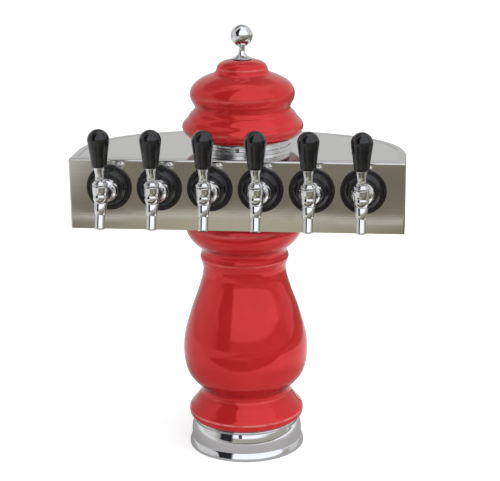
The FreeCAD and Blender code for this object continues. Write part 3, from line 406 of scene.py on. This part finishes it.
# ---- finishes, one per material slot of the record ------------------------------------------
FINISH = {
    "red_glaze": red_glaze("red_glaze", []),
    "chrome": chrome("chrome"),
    "chrome_nut": chrome("chrome_nut", rough=0.06),
    "chrome_faucet": chrome("chrome_faucet", rough=0.05, wave=0.08),
    "chrome_bonnet": chrome("chrome_bonnet", rough=0.05),
    "chrome_ferrule": chrome("chrome_ferrule", rough=0.06),
    "chrome_lever": chrome("chrome_lever", rough=0.07),
    "chrome_ball": chrome("chrome_ball", rough=0.03, wave=0.02),
    "stainless": stainless("stainless", (0.74, 0.73, 0.70), 0.035, 0.05),
    "stainless_lid": stainless("stainless_lid", (0.80, 0.795, 0.785), 0.05, 0.06),
    "black_flange": black_plastic("black_flange", 0.12, 0.05),
    "black_knob": black_plastic("black_knob", 0.06, 0.02),
    "cast_iron": worked_metal("cast_iron", (0.20, 0.20, 0.21), 0.55, 300.0),
    "steel_screws": worked_metal("steel_screws", (0.30, 0.30, 0.31), 0.35),
    "zinc_steel": worked_metal("zinc_steel", (0.62, 0.63, 0.62), 0.30),
    "core_steel": worked_metal("core_steel", (0.45, 0.46, 0.47), 0.35),
    "stainless_machined": worked_metal("stainless_machined", (0.66, 0.66, 0.65), 0.22, 2400.0),
    "clamp_steel": worked_metal("clamp_steel", (0.60, 0.60, 0.60), 0.28),
    "aluminium": worked_metal("aluminium", (0.72, 0.73, 0.74), 0.32),
    "brass_nut": worked_metal("brass_nut", (0.72, 0.56, 0.28), 0.28),
    "gasket_rubber": plain_solid("gasket_rubber", (0.03, 0.03, 0.03), 0.70, 900.0, 0.2),
    "foam": plain_solid("foam", (0.80, 0.70, 0.42), 0.85, 260.0, 0.5),
    "nylon": plain_solid("nylon", (0.84, 0.83, 0.78), 0.45, 500.0, 0.1),
    "vinyl_hose": plain_solid("vinyl_hose", (0.72, 0.75, 0.75), 0.25, 300.0, 0.05),
    "glycol_pipe": plain_solid("glycol_pipe", (0.80, 0.80, 0.77), 0.40, 300.0, 0.08),
}
slots = {s["node"]: s["material_slot"] for s in frame["record"]["subparts"]}


def dress_cad_nodes():
    """Gives every CAD node the finish of its slot and smooth shading."""
    for name, obj in frame["nodes"].items():
        obj.data.materials.clear()
        obj.data.materials.append(FINISH[slots[name]])
        smooth(obj.data, 30)


dress_cad_nodes()


# ---- ceramic --------------------------------------------------------------------------------
def column():
    """Baluster column; heights are counted from its foot."""
    low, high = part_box("column_ceramic")
    top = (high.z - low.z) / MM
    points = outline([
        [(61, 0), (82, 0)],
        [(82, 0), (83.2, 0.3), (86.6, 1.4), (90.4, 5.4), (91.6, 10.6), (91.0, 16.5), (85.2, 24),
         (76.6, 35), (71, 41.6), (69.4, 47.5), (72.2, 53.6), (81.0, 62.4), (90.9, 75), (96.6, 91),
         (99, 115.5), (96.8, 139), (86, 178.5), (73, 215), (66.5, 238), (65.3, 248)],
        [(65.3, 248), (66.2, 256), (68.6, 262.4), (69.8, 267), (69.3, 271.2)],
        [(69.3, 271.2), (68.1, 273.4), (67.8, 277), (68.6, 282), (71.4, 286)],
        [(71.4, 286), (78.2, 291.6), (87, 302.4), (91.4, 314), (90.6, 325), (87.2, top - 2), (84, top)],
        [(84, top), (58, top)],
        [(58, top), (58, 223)],
        [(58, 223), (66, 211), (79, 177), (88.5, 138), (91, 116), (88, 93), (80, 75), (64, 57),
         (61, 47)],
        [(61, 47), (61, 0)],
    ], 0.8, 8)
    mesh = lathe("column_glaze", points, 192)
    edges = [(13.5, 2.6, 0.75), (267.0, 2.0, 0.35), (321.0, 5.0, 0.25), (42.5, 2.0, 0.15)]
    glaze = red_glaze("red_glaze_column", edges)
    place("column_glaze", mesh, glaze, "tower", ["column_ceramic"], (0, 0, low.z))


def dome():
    """Stepped dome with a lower roll, a bulge and a cap; heights from its lower rim."""
    low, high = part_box("dome_ceramic")
    top = (high.z - low.z) / MM
    points = outline([
        [(62, 0), (80.5, 0)],
        [(80.5, 0), (83, 0.6), (87.8, 4), (92, 9.6), (93.5, 16), (91.6, 22), (87, 26.6), (84.6, 28.8)],
        [(84.6, 28.8), (83.6, 31), (80.6, 36), (75.8, 40.6), (73.5, 45), (75.4, 50.6), (79.2, 58.2),
         (80.5, 66), (77.8, 76), (69.2, 85.4), (55.4, 92.8), (45.2, 96.8), (41.2, 99.6)],
        [(41.2, 99.6), (39.6, 102.2), (38.9, 105.4), (37.2, 109.6), (32, 113.8), (23, 117), (10, top)],
        [(10, top), (3.6, top)],
        [(3.6, top), (3.6, 104)],
        [(3.6, 104), (12, 103), (38, 91), (62, 79), (70, 65), (66, 45), (70, 27), (62, 15)],
        [(62, 15), (62, 0)],
    ], 0.8, 8)
    mesh = lathe("dome_glaze", points, 192)
    edges = [(16.0, 4.0, 0.2), (66.0, 5.0, 0.15), (105.0, 2.0, 0.4)]
    glaze = red_glaze("red_glaze_dome", edges)
    place("dome_glaze", mesh, glaze, "tower", ["dome_ceramic"], (0, 0, low.z))


# ---- chrome rings and finial ----------------------------------------------------------------
def base_ring():
    """Chrome plinth: foot, cove, wall and shoulder; heights from the bar top."""
    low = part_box("base_ring")[0]
    points = outline([
        [(80.5, 0), (91.2, 0)],
        [(91.2, 0), (91.8, 0.2), (92, 0.8)],
        [(92, 0.8), (92, 4)],
        [(92, 4), (91.8, 4.8), (89, 11.8), (88.6, 12.4)],
        [(88.6, 12.4), (88.4, 13)],
        [(88.4, 13), (88.4, 27)],
        [(88.4, 27), (87.8, 30.6), (86.6, 35.6), (84.4, 42.6)],
        [(84.4, 42.6), (82.8, 43.1)],
        [(82.8, 43.1), (82.3, 43.7), (82.5, 44.2)],
        [(82.5, 44.2), (83.1, 44.9), (82.6, 46)],
        [(82.6, 46), (56, 46)],
        [(56, 46), (56, 44)],
        [(56, 44), (80.5, 44)],
        [(80.5, 44), (80.5, 0)],
    ], 0.3)
    mesh = with_screw_holes(lathe("plinth", points, 192), *PLINTH_SCREWS)
    place("plinth", mesh, FINISH["chrome"], "tower", ["base_ring"], (0, 0, low.z))


def with_screw_holes(mesh, height, reach):
    """Three radial set screw holes, one at the front."""
    cutters = []
    for angle in SCREW_ANGLES:
        hole = pin_shape("hole", SCREW_HOLE_R, 0, 30, 24)
        hole.transform(Matrix.Rotation(math.radians(90), 4, "Y"))
        hole.transform(Matrix.Translation(((reach - SCREW_HOLE_DEPTH) * MM, 0, height * MM)))
        hole.transform(Matrix.Rotation(math.radians(angle), 4, "Z"))
        cutters.append(hole)
    cut = boolean(mesh, cutters, mesh.name)
    smooth(cut)
    return cut


def dome_collar():
    """Chrome collar under the dome: rolled foot, step and groove."""
    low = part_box("dome_collar")[0]
    points = outline([
        [(68.2, 0), (75, 0)],
        [(75, 0), (75.4, 0.4), (75.4, 1.2)],
        [(75.4, 1.2), (75.4, 4.6)],
        [(75.4, 4.6), (75.1, 5.5), (74, 6)],
        [(74, 6), (71.6, 6.4)],
        [(71.6, 6.4), (71.1, 8), (71.4, 9.8)],
        [(71.4, 9.8), (72.4, 10.8), (72.2, 14.4), (71, 16)],
        [(71, 16), (62, 16)],
        [(62, 16), (62, 13.4)],
        [(62, 13.4), (68.2, 13.4)],
        [(68.2, 13.4), (68.2, 0)],
    ], 0.3)
    mesh = with_screw_holes(lathe("dome_ring", points, 160), *COLLAR_SCREWS)
    satin = chrome("chrome_collar", rough=0.20)
    place("dome_ring", mesh, satin, "tower", ["dome_collar"], (0, 0, low.z))


def finial():
    """Chrome ball on a flared foot; heights from the top of the dome."""
    low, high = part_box("finial")
    ball_r = (high.x - low.x) / 2 / MM
    top = (high.z - low.z) / MM
    ball_z = top - ball_r
    throat = math.radians(FINIAL_THROAT)
    arc = [(ball_r * math.cos(a), ball_z + ball_r * math.sin(a))
           for a in (throat + (math.pi / 2 - throat) * i / 40 for i in range(40))]
    points = outline([
        [(3.3, 0), (15.6, 0)],
        [(15.6, 0), (16, 0.5), (14.6, 1.5), (11.4, 2.8), (7.9, 5.2), (5.8, 8.4), (4.8, 12),
         (4.6, 15.6), arc[0]],
        arc + [(0, top)],
        [(0, top), (0, 8.5)],
        [(0, 8.5), (3.3, 8.5)],
        [(3.3, 8.5), (3.3, 0)],
    ], 0.4)
    place("finial_ball", lathe("finial_ball", points, 96), FINISH["chrome_ball"], "tower", ["finial"],
          (0, 0, low.z))


# ---- faucets --------------------------------------------------------------------------------
def escutcheon_mesh():
    """Black shank flange: rolled rim, groove, dished cone and inner land; y counted off the panel."""
    return front_facing(lathe("escutcheon", outline([
        [(12.2, 0), (34.2, 0)],
        [(34.2, 0), (34.5, 0.4), (34.5, 2.2)],
        [(34.5, 2.2), (34.1, 3.3), (33, 3.7)],
        [(33, 3.7), (30.7, 3.7)],
        [(30.7, 3.7), (30.3, 2.4)],
        [(30.3, 2.4), (28.9, 2.4)],
        [(28.9, 2.4), (28.5, 4.2)],
        [(28.5, 4.2), (26.6, 4.7), (24.6, 6.2), (22.8, 8.4)],
        [(22.8, 8.4), (21.9, 9.3), (20.7, 9.6)],
        [(20.7, 9.6), (17.3, 9.6)],
        [(17.3, 9.6), (17.3, 8)],
        [(17.3, 8), (12.2, 8)],
        [(12.2, 8), (12.2, 0)],
    ], 0.3), 128))


def coupling_nut_mesh():
    """Domed nut with four spanner holes; y counted off its back face."""
    body = lathe("coupling", outline([
        [(14.3, 0), (17.4, 0)],
        [(17.4, 0), (18.2, 0.6), (18.5, 2.4)],
        [(18.5, 2.4), (18.5, 6.4), (17.9, 11), (16.6, 15.4), (14.6, 19.2), (12.1, 22.2)],
        [(12.1, 22.2), (11.6, 22.4)],
        [(11.6, 22.4), (11.6, 13.4)],
        [(11.6, 13.4), (14.3, 13.4)],
        [(14.3, 13.4), (14.3, 0)],
    ], 0.4), 96)
    holes = []
    radius, height = SPANNER_HOLE_FOOT
    for angle in range(SPANNER_TURN, SPANNER_TURN + 360, 90):
        hole = pin_shape("hole", SPANNER_HOLE_R, 0, 8, 24)
        hole.transform(Matrix.Rotation(math.radians(SPANNER_HOLE_LEAN), 4, "Y"))
        hole.transform(Matrix.Translation((radius * MM, 0, height * MM)))
        hole.transform(Matrix.Rotation(math.radians(angle), 4, "Z"))
        holes.append(hole)
    cut = boolean(body, holes, "coupling")
    smooth(cut)
    return front_facing(cut)


def tip_end():
    """Centre of the spout's mouth as (y, z) from where the lever and shank axes meet."""
    drop = KNEE[1] - (spout_bottom - shank_z) / MM
    return KNEE[0] - drop * math.tan(math.radians(TIP_LEAN)), KNEE[1] - drop


def spout_mesh():
    """Curved spout swept from the barrel to its knee, then a straight tip leaning forward."""
    end = tip_end()
    path = [(8, 0, 10.2), (3.5, -5, 10.0), (-1, -10, 9.6), (-3.6, -14.5, 9.1), (-5.2, -19, 8.5),
            (*KNEE, 7.9)]
    dense = spline([Vector((y, z, r)) for y, z, r in path], 5)
    dense += [Vector((KNEE[0] - 0.5, KNEE[1] - 1.4, TIP_R + 0.1)), Vector((end[0], end[1], TIP_R))]
    bm = bmesh.new()
    rings = []
    sides = 40
    for i, p in enumerate(dense):
        ahead = dense[min(i + 1, len(dense) - 1)]
        behind = dense[max(i - 1, 0)]
        along = Vector((0, ahead.x - behind.x, ahead.y - behind.y)).normalized()
        across = X.cross(along)
        centre = Vector((0, p.x, p.y))
        ring = [bm.verts.new((centre + X * p.z * math.cos(a) + across * p.z * math.sin(a)) * MM)
                for a in (2 * math.pi * k / sides for k in range(sides))]
        rings.append(ring)
    for low, high in zip(rings, rings[1:]):
        for k in range(sides):
            bm.faces.new((low[k], low[(k + 1) % sides], high[(k + 1) % sides], high[k]))
    bm.faces.new(rings[0])
    bm.faces.new(rings[-1])
    bmesh.ops.recalc_face_normals(bm, faces=bm.faces)
    mesh = bpy.data.meshes.new("spout")
    bm.to_mesh(mesh)
    bm.free()
    return mesh


def faucet_body_mesh():
    """Cast and polished faucet body: barrel, collar and spout melted into one skin.
    Its origin is where the lever axis meets the shank axis."""
    rear = (lever_y - (panel_y - BODY_REAR * MM)) / MM
    barrel = front_facing(lathe("barrel", outline([
        [(0, rear), (13.6, rear)],
        [(13.6, rear), (13.6, rear + 4)],
        [(13.6, rear + 4), (11.5, rear + 4)],
        [(11.5, rear + 4), (11.5, rear + 13)],
        [(11.5, rear + 13), (11.3, rear + 20), (10.6, -12), (10.8, -4), (10.3, 4), (7.6, 9.4),
         (3.5, 11.6), (0, 12)],
    ], 0.4), 48, closed=False))
    collar = lathe("collar", outline([
        [(0, -4), (8.6, -4)],
        [(8.6, -4), (10.2, 1), (10.8, 5), (11.3, 9)],
        [(11.3, 9), (11.3, 18.2)],
        [(11.3, 18.2), (0, 18.2)],
    ], 0.5), 48, closed=False)
    solids = []
    for part in (barrel, collar, spout_mesh()):
        solids.append(new_object("solid", part))
    with bpy.context.temp_override(active_object=solids[0], selected_editable_objects=solids):
        bpy.ops.object.join()
    skin = solids[0]
    melt = skin.modifiers.new("melt", "REMESH")
    melt.mode = "VOXEL"
    melt.voxel_size = MELT * MM
    polish = skin.modifiers.new("polish", "SMOOTH")
    polish.factor = 0.5
    polish.iterations = 9
    graph = bpy.context.evaluated_depsgraph_get()
    mesh = bpy.data.meshes.new_from_object(skin.evaluated_get(graph))
    bpy.data.objects.remove(skin)
    bore = pin_shape("bore", TIP_BORE_R, -6, 20, 40)
    bore.transform(Matrix.Rotation(math.radians(-TIP_LEAN), 4, "X"))
    end = tip_end()
    bore.transform(Matrix.Translation((0, end[0] * MM, end[1] * MM)))
    mesh = boolean(mesh, [bore] + faucet_passages(-rear), "faucet_body")
    smooth(mesh, 50)
    return mesh


def faucet_passages(seat_end):
    """Room inside the body for the washer, the plunger, the ball with its pin and the lever's tip."""
    seat = seat_end - CHAMBER_DEPTH
    along = front_facing(lathe("passages", [
        (0, 9.5), (GUIDE_R, 9.5), (GUIDE_R, -6), (PASSAGE_R, -6), (PASSAGE_R, -seat),
        (CHAMBER_R, -seat), (CHAMBER_R, -seat_end - 1), (0, -seat_end - 1),
    ], 48, closed=False))
    ball_z = (ball_centre.z - shank_z) / MM
    quarter = [math.radians(-90 + 10 * i) for i in range(10)]
    seat_arc = [(SOCKET_R * math.cos(a), ball_z + SOCKET_R * math.sin(a)) for a in quarter]
    socket = lathe("socket", seat_arc + [(SOCKET_R, ball_z + 2), (0, ball_z + 2)], 48, closed=False)
    slot = pin_shape("slot", SLOT_R, -4.5, ball_z - 5, 32)
    slot.transform(Matrix.Translation((0, SLOT_Y * MM, 0)) @ Matrix.Diagonal((1, SLOT_STRETCH, 1, 1)))
    pin = pin_shape("pin_room", PIN_ROOM[0], -PIN_ROOM[1], PIN_ROOM[1], 24)
    pin.transform(Matrix.Translation((0, 0, ball_z * MM)) @ Matrix.Rotation(math.radians(90), 4, "Y"))
    return [along, socket, slot, pin]


def about_ball(radius, from_angle, to_angle, count):
    """Points of an arc about the ball's centre; angles from the lever axis."""
    angles = [math.radians(from_angle + (to_angle - from_angle) * i / count) for i in range(count + 1)]
    return [(radius * math.sin(a), radius * math.cos(a)) for a in angles]


def bonnet_mesh():
    """Bonnet with a ball-shaped roof over the lever ball; heights from the ball's centre."""
    roof = about_ball(ROOF_R, 66, 48.5, 8)
    return lathe("bonnet", outline([
        [(9.85, BONNET_FOOT), (10.9, BONNET_FOOT)],
        [(10.9, BONNET_FOOT), (11.4, BONNET_FOOT + 0.5), (11.4, 2.8), (10.9, 3.9)],
        [(10.9, 3.9), roof[0]],
        roof,
        [roof[-1], (7.6, 6.6)],
        [(7.6, 6.6), (6.5, 4.6)],
        [(6.5, 4.6), (8.8, 4.6)],
        [(8.8, 4.6), (8.8, 2.1)],
        [(8.8, 2.1), (9.85, 2.1)],
        [(9.85, 2.1), (9.85, BONNET_FOOT)],
    ], 0.3), 96)


def lever_mesh(shoulder_top):
    """Tip, ball, cross pin, stem and shoulder of the lever; heights from the ball's centre."""
    turns = [math.radians(-74 + 8 * i) for i in range(18)]
    ball = [(BALL_R * math.cos(a), BALL_R * math.sin(a)) for a in turns]
    under = about_ball(ROOF_R + NECK_GAP, 16, 37, 8)
    mesh = lathe("lever", outline([
        [(0, -20.4), (1.7, -19.7), (2.4, -18), (1.9, -16)],
        [(1.9, -16), (1.9, -6.73)],
        ball,
        [ball[-1], (2.9, under[0][1])],
        under,
        [under[-1], (6.9, 9.6), (6.6, shoulder_top)],
        [(6.6, shoulder_top), (THREAD_R, shoulder_top)],
        [(THREAD_R, shoulder_top), (THREAD_R, THREAD_TOP)],
        [(THREAD_R, THREAD_TOP), (0, THREAD_TOP)],
    ], 0.3), 64, closed=False)
    return with_pin(mesh)


def with_pin(mesh):
    """Adds the cross pin through the ball."""
    pin = lathe("pin", outline([
        [(0, -PIN_REACH), (PIN_R, -PIN_REACH)],
        [(PIN_R, -PIN_REACH), (PIN_R, PIN_REACH)],
        [(PIN_R, PIN_REACH), (0, PIN_REACH)],
    ], 0.3), 32, closed=False)
    pin.transform(Matrix.Rotation(math.radians(90), 4, "Y"))
    bm = bmesh.new()
    bm.from_mesh(mesh)
    bm.from_mesh(pin)
    bm.to_mesh(mesh)
    bm.free()
    smooth(mesh)
    return mesh


def ferrule_mesh(height):
    """Flared ferrule; heights from its lower edge."""
    bore = THREAD_R + THREAD_FIT
    return lathe("ferrule", outline([
        [(bore, 0), (6.5, 0)],
        [(6.5, 0), (6.75, 5), (8.3, height - 0.8)],
        [(8.3, height - 0.8), (8.2, height)],
        [(8.2, height), (bore, height)],
        [(bore, height), (bore, 0)],
    ], 0.25), 80)


def handle_mesh():
    """Tapered handle with a round head; heights from its lower edge."""
    top = (handle_high.z - handle_low.z) / MM
    head_r = (handle_high.x - handle_low.x) / 2 / MM
    head_z = top - head_r
    bore = THREAD_R + THREAD_FIT
    head = [(head_r * math.cos(a), head_z + head_r * math.sin(a))
            for a in (math.radians(-8 + 98 * i / 24) for i in range(24))]
    return lathe("handle", outline([
        [(bore, 0), (10.4, 0)],
        [(10.4, 0), (11.0, 0.8), (11.5, 3), (12.6, 14), (14.5, 27)] + head + [(0, top)],
        [(0, top), (0, 16)],
        [(0, 16), (bore, 16)],
        [(bore, 16), (bore, 0)],
    ], 0.3), 96)


def faucets():
    """The six faucets, sharing their meshes."""
    nut_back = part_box("coupling_nuts")[1].y
    ferrule_low, ferrule_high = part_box("faucet_1_ferrule")
    fixed = [
        ("escutcheon", escutcheon_mesh(), "shank_flanges", (panel_y, shank_z)),
        ("coupling", coupling_nut_mesh(), "coupling_nuts", (nut_back, shank_z)),
        ("body", faucet_body_mesh(), "faucet_bodies", (lever_y, shank_z)),
        ("bonnet", bonnet_mesh(), "faucet_bonnets", (lever_y, ball_centre.z)),
    ]
    turning = [
        ("lever", lever_mesh((ferrule_low.z - ball_centre.z) / MM), ball_centre.z),
        ("ferrule", ferrule_mesh((ferrule_high.z - ferrule_low.z) / MM), ferrule_low.z),
        ("handle", handle_mesh(), handle_low.z),
    ]
    for i, x in enumerate(faucet_x, 1):
        for part, mesh, node, (y, z) in fixed:
            slot = slots[node]
            place(f"faucet_{i}_shown_{part}", mesh, FINISH[slot], "tower", [node], (x, y, z))
        for part, mesh, z in turning:
            node = f"faucet_{i}_{part}"
            slot = slots[node]
            place(f"{node}_shown", mesh, FINISH[slot], f"lever_{i}", [node], (x, lever_y, z))


column()
dome()
base_ring()
dome_collar()
finial()
faucets()


# ---- stage ----------------------------------------------------------------------------------
CAMERA_PLACE = Vector((0.2756, -2.2547, 0.9853))
CAMERA_YAW = math.radians(6.742)
CAMERA_PITCH = math.radians(15.911)
CAMERA_ROLL = math.radians(-0.696)
CAMERA_LENS = 107.98
SENSOR = 36.0
FAR_CLIP = 60
FLOOR_HALF = 14.0

# the floor as the camera sees it, and the bench top and room that mirrors see in its place
FLOOR_PALE = (0.88, 0.88, 0.88)
BENCH_NEAR = (0.45, 0.45, 0.44)
BENCH_LEFT = (0.64, 0.64, 0.63)
BENCH_RIGHT = (0.80, 0.80, 0.79)
BENCH_RIGHT_FAR = (0.24, 0.23, 0.19)
ROOM_OLIVE = (0.20, 0.19, 0.15)
ROOM_WARM = (0.50, 0.47, 0.36)
ROOM_EDGE = (0.10, 0.09, 0.08)
ROOM_FAR_DARK = (0.20, 0.185, 0.145)
ROOM_FAR_LIGHT = (0.27, 0.25, 0.20)
ROOM_STREAK = (0.62, 0.61, 0.56)
ROOM_LEFT = (0.60, 0.61, 0.62)

# surroundings by direction
LOW_WALL = (0.36, 0.35, 0.31)
WINDOW = (1.0, 1.03, 1.10)
CEILING = (0.92, 0.95, 1.0)
REAR_WALL = (0.20, 0.20, 0.21)
DARK_STRIP = (0.02, 0.02, 0.025)

# name, place, point aimed at, size, power in watts
LIGHTS = [
    ("overhead", (0.0, -0.3, 3.2), (0, 0, 0), (4.5, 4.5), 34),
    ("front_fill", (0.9, -3.0, 1.3), (0, 0, 0.35), (2.0, 1.4), 22),
    ("left_fill", (-2.6, -1.0, 1.2), (0, 0, 0.35), (1.6, 1.6), 26),
    ("right_fill", (2.4, -0.6, 1.0), (0, 0, 0.35), (1.6, 1.6), 24),
]


def camera():
    data = bpy.data.cameras.new("camera")
    data.lens = CAMERA_LENS
    data.sensor_width = SENSOR
    data.clip_end = FAR_CLIP
    cam = new_object("camera", data)
    ahead = Vector((-math.sin(CAMERA_YAW) * math.cos(CAMERA_PITCH),
                    math.cos(CAMERA_YAW) * math.cos(CAMERA_PITCH), -math.sin(CAMERA_PITCH)))
    right = Vector((math.cos(CAMERA_YAW), math.sin(CAMERA_YAW), 0))
    up = right.cross(ahead)
    right_rolled = right * math.cos(CAMERA_ROLL) + up * math.sin(CAMERA_ROLL)
    up_rolled = up * math.cos(CAMERA_ROLL) - right * math.sin(CAMERA_ROLL)
    turn = Matrix((right_rolled, up_rolled, -ahead)).transposed()
    cam.matrix_world = Matrix.Translation(CAMERA_PLACE) @ turn.to_4x4()
    bpy.context.scene.camera = cam


def bench_colour(n, x, distance):
    """Bench top in mirrors: grey near the tower, then pale, and dark beyond a metre on the right."""
    away = n.span(distance, 0.28, 0.45)
    right_side = n.mix(n.span(distance, 0.95, 1.15), rgba(BENCH_RIGHT), rgba(BENCH_RIGHT_FAR))
    side = n.mix(n.span(x, -0.3, 0.3), rgba(BENCH_LEFT), right_side)
    return n.mix(away, rgba(BENCH_NEAR), side)


def room_colour(n, co, x, y):
    """Room in mirrors, outwards from the bench: dark, olive with a warm middle, a pale streak, then
    mottled brown; pale at the far left."""
    far = n.span(y, -1.60, -1.66)
    streak = n.math("MULTIPLY", n.span(y, -1.54, -1.58), n.span(y, -1.60, -1.64, 1.0, 0.0))
    middle = n.span(n.math("ABSOLUTE", n.math("ADD", x, 0.16)), 0.05, 0.55, 1.0, 0.0)
    cloud = n.noise(n.stretch(co, (1.2, 0.5, 1.0)), 1.6, 3.0, 0.5)
    near_room = n.mix(middle, rgba(ROOM_OLIVE), rgba(ROOM_WARM))
    near_room = n.mix(n.span(y, -0.75, -1.2), rgba(ROOM_EDGE), near_room)
    far_room = n.mix(n.span(cloud, 0.35, 0.65), rgba(ROOM_FAR_DARK), rgba(ROOM_FAR_LIGHT))
    room = n.mix(far, near_room, far_room)
    room = n.mix(streak, room, rgba(ROOM_STREAK))
    return n.mix(n.span(x, -0.62, -0.80), room, rgba(ROOM_LEFT))


def floor():
    """Pale floor to the camera; to mirrors, a bench top and, in front of it, the room."""
    mesh = bpy.data.meshes.new("floor")
    half = FLOOR_HALF
    mesh.from_pydata([(-half, -half, 0), (half, -half, 0), (half, half, 0), (-half, half, 0)], [],
                     [(0, 1, 2, 3)])
    obj = new_object("floor", mesh)
    mat = bpy.data.materials.new("floor")
    mat.use_nodes = True
    n = Nodes(mat.node_tree)
    co = n.add("ShaderNodeTexCoord").outputs["Object"]
    split = n.add("ShaderNodeSeparateXYZ", {0: co}).outputs
    x, y = split[0], split[1]
    path = n.add("ShaderNodeLightPath").outputs
    in_mirror, seen = path["Is Glossy Ray"], path["Is Camera Ray"]
    in_front = n.span(y, -0.36, -0.42)
    room = room_colour(n, co, x, y)
    distance = n.math("SQRT", n.math("ADD", n.math("MULTIPLY", x, x), n.math("MULTIPLY", y, y)))
    colour = n.mix(in_mirror, rgba(FLOOR_PALE), bench_colour(n, x, distance))
    diffuse = n.add("ShaderNodeBsdfDiffuse", {"Color": colour})
    haze = n.math("MULTIPLY", seen, n.span(y, 0.1, 2.0, 0.36, 0.55))
    veil = n.add("ShaderNodeEmission", {"Color": rgba((1.0, 1.0, 1.0)), "Strength": haze})
    lit = n.add("ShaderNodeAddShader", {0: diffuse.outputs[0], 1: veil.outputs[0]})
    glow = n.add("ShaderNodeEmission", {"Color": room, "Strength": 1.0})
    in_room = n.math("MULTIPLY", in_mirror, in_front)
    pick = n.add("ShaderNodeMixShader", {0: in_room, 1: lit.outputs[0], 2: glow.outputs[0]})
    out = n.add("ShaderNodeOutputMaterial")
    mat.node_tree.links.new(pick.outputs[0], out.inputs[0])
    mesh.materials.append(mat)


def rising(n, value, low, high):
    """Smooth step between two angles in degrees."""
    return n.span(value, math.radians(low), math.radians(high))


def between(n, value, low, high, soft):
    """1 between two angles in degrees, with soft sides."""
    rise = rising(n, value, low - soft, low + soft)
    return n.math("MULTIPLY", rise, rising(n, value, high + soft, high - soft))


def room_light():
    """Surroundings by direction. Azimuth is 0 to the front and grows to the right: a dark strip, then
    a large window over a low wall; a pale ceiling; a grey patch of wall high behind the tower."""
    world = bpy.data.worlds.new("studio")
    bpy.context.scene.world = world
    world.use_nodes = True
    n = Nodes(world.node_tree)
    ray = n.add("ShaderNodeTexCoord").outputs["Generated"]
    x, y, z = n.add("ShaderNodeSeparateXYZ", {0: ray}).outputs
    azimuth = n.math("ARCTAN2", x, n.math("MULTIPLY", y, -1.0))
    elevation = n.math("ARCSINE", z)
    grey = n.span(elevation, 0.0, math.radians(60), 0.58, 0.62)
    base = n.add("ShaderNodeCombineColor", {0: grey, 1: grey, 2: grey}).outputs[0]
    widening = n.span(elevation, math.radians(10), math.radians(28), 0.0, math.radians(22))
    strip_left = rising(n, n.math("ADD", azimuth, widening), -53, -47)
    dark_strip = n.math("MULTIPLY", strip_left, rising(n, azimuth, -20, -26))
    behind = n.math("MULTIPLY", between(n, elevation, 36, 64, 4), n.span(y, 0.0, 0.2))
    behind = n.math("MULTIPLY", behind, n.span(x, 0.45, 0.05))
    window = n.math("MULTIPLY", between(n, azimuth, -23, 82, 1.5), rising(n, elevation, 9, 12))
    overhead = n.math("MULTIPLY", rising(n, elevation, 45, 60), n.span(x, -0.30, -0.15))
    low_wall = n.math("MULTIPLY", between(n, azimuth, -60, 100, 6), rising(n, elevation, 12, 9))
    colour = base
    for share, tint in ((low_wall, LOW_WALL), (window, WINDOW), (overhead, CEILING),
                        (behind, REAR_WALL), (dark_strip, DARK_STRIP)):
        colour = n.mix(share, colour, rgba(tint))
    back = n.add("ShaderNodeBackground", {"Color": colour, "Strength": 1.0})
    out = n.add("ShaderNodeOutputWorld")
    world.node_tree.links.new(back.outputs[0], out.inputs[0])


def lights():
    """Soft area lights that mirrors do not see."""
    for name, place_at, aim_at, spread, power in LIGHTS:
        data = bpy.data.lights.new(name, "AREA")
        data.shape = "RECTANGLE"
        data.size, data.size_y = spread
        data.energy = power
        lamp = new_object(name, data)
        lamp.location = place_at
        aim = Vector(aim_at) - Vector(place_at)
        lamp.rotation_euler = aim.to_track_quat("-Z", "Y").to_euler()
        lamp.visible_glossy = False


camera()
floor()
room_light()
lights()
view = bpy.context.scene.view_settings
view.view_transform = "Standard"
view.look = "None"
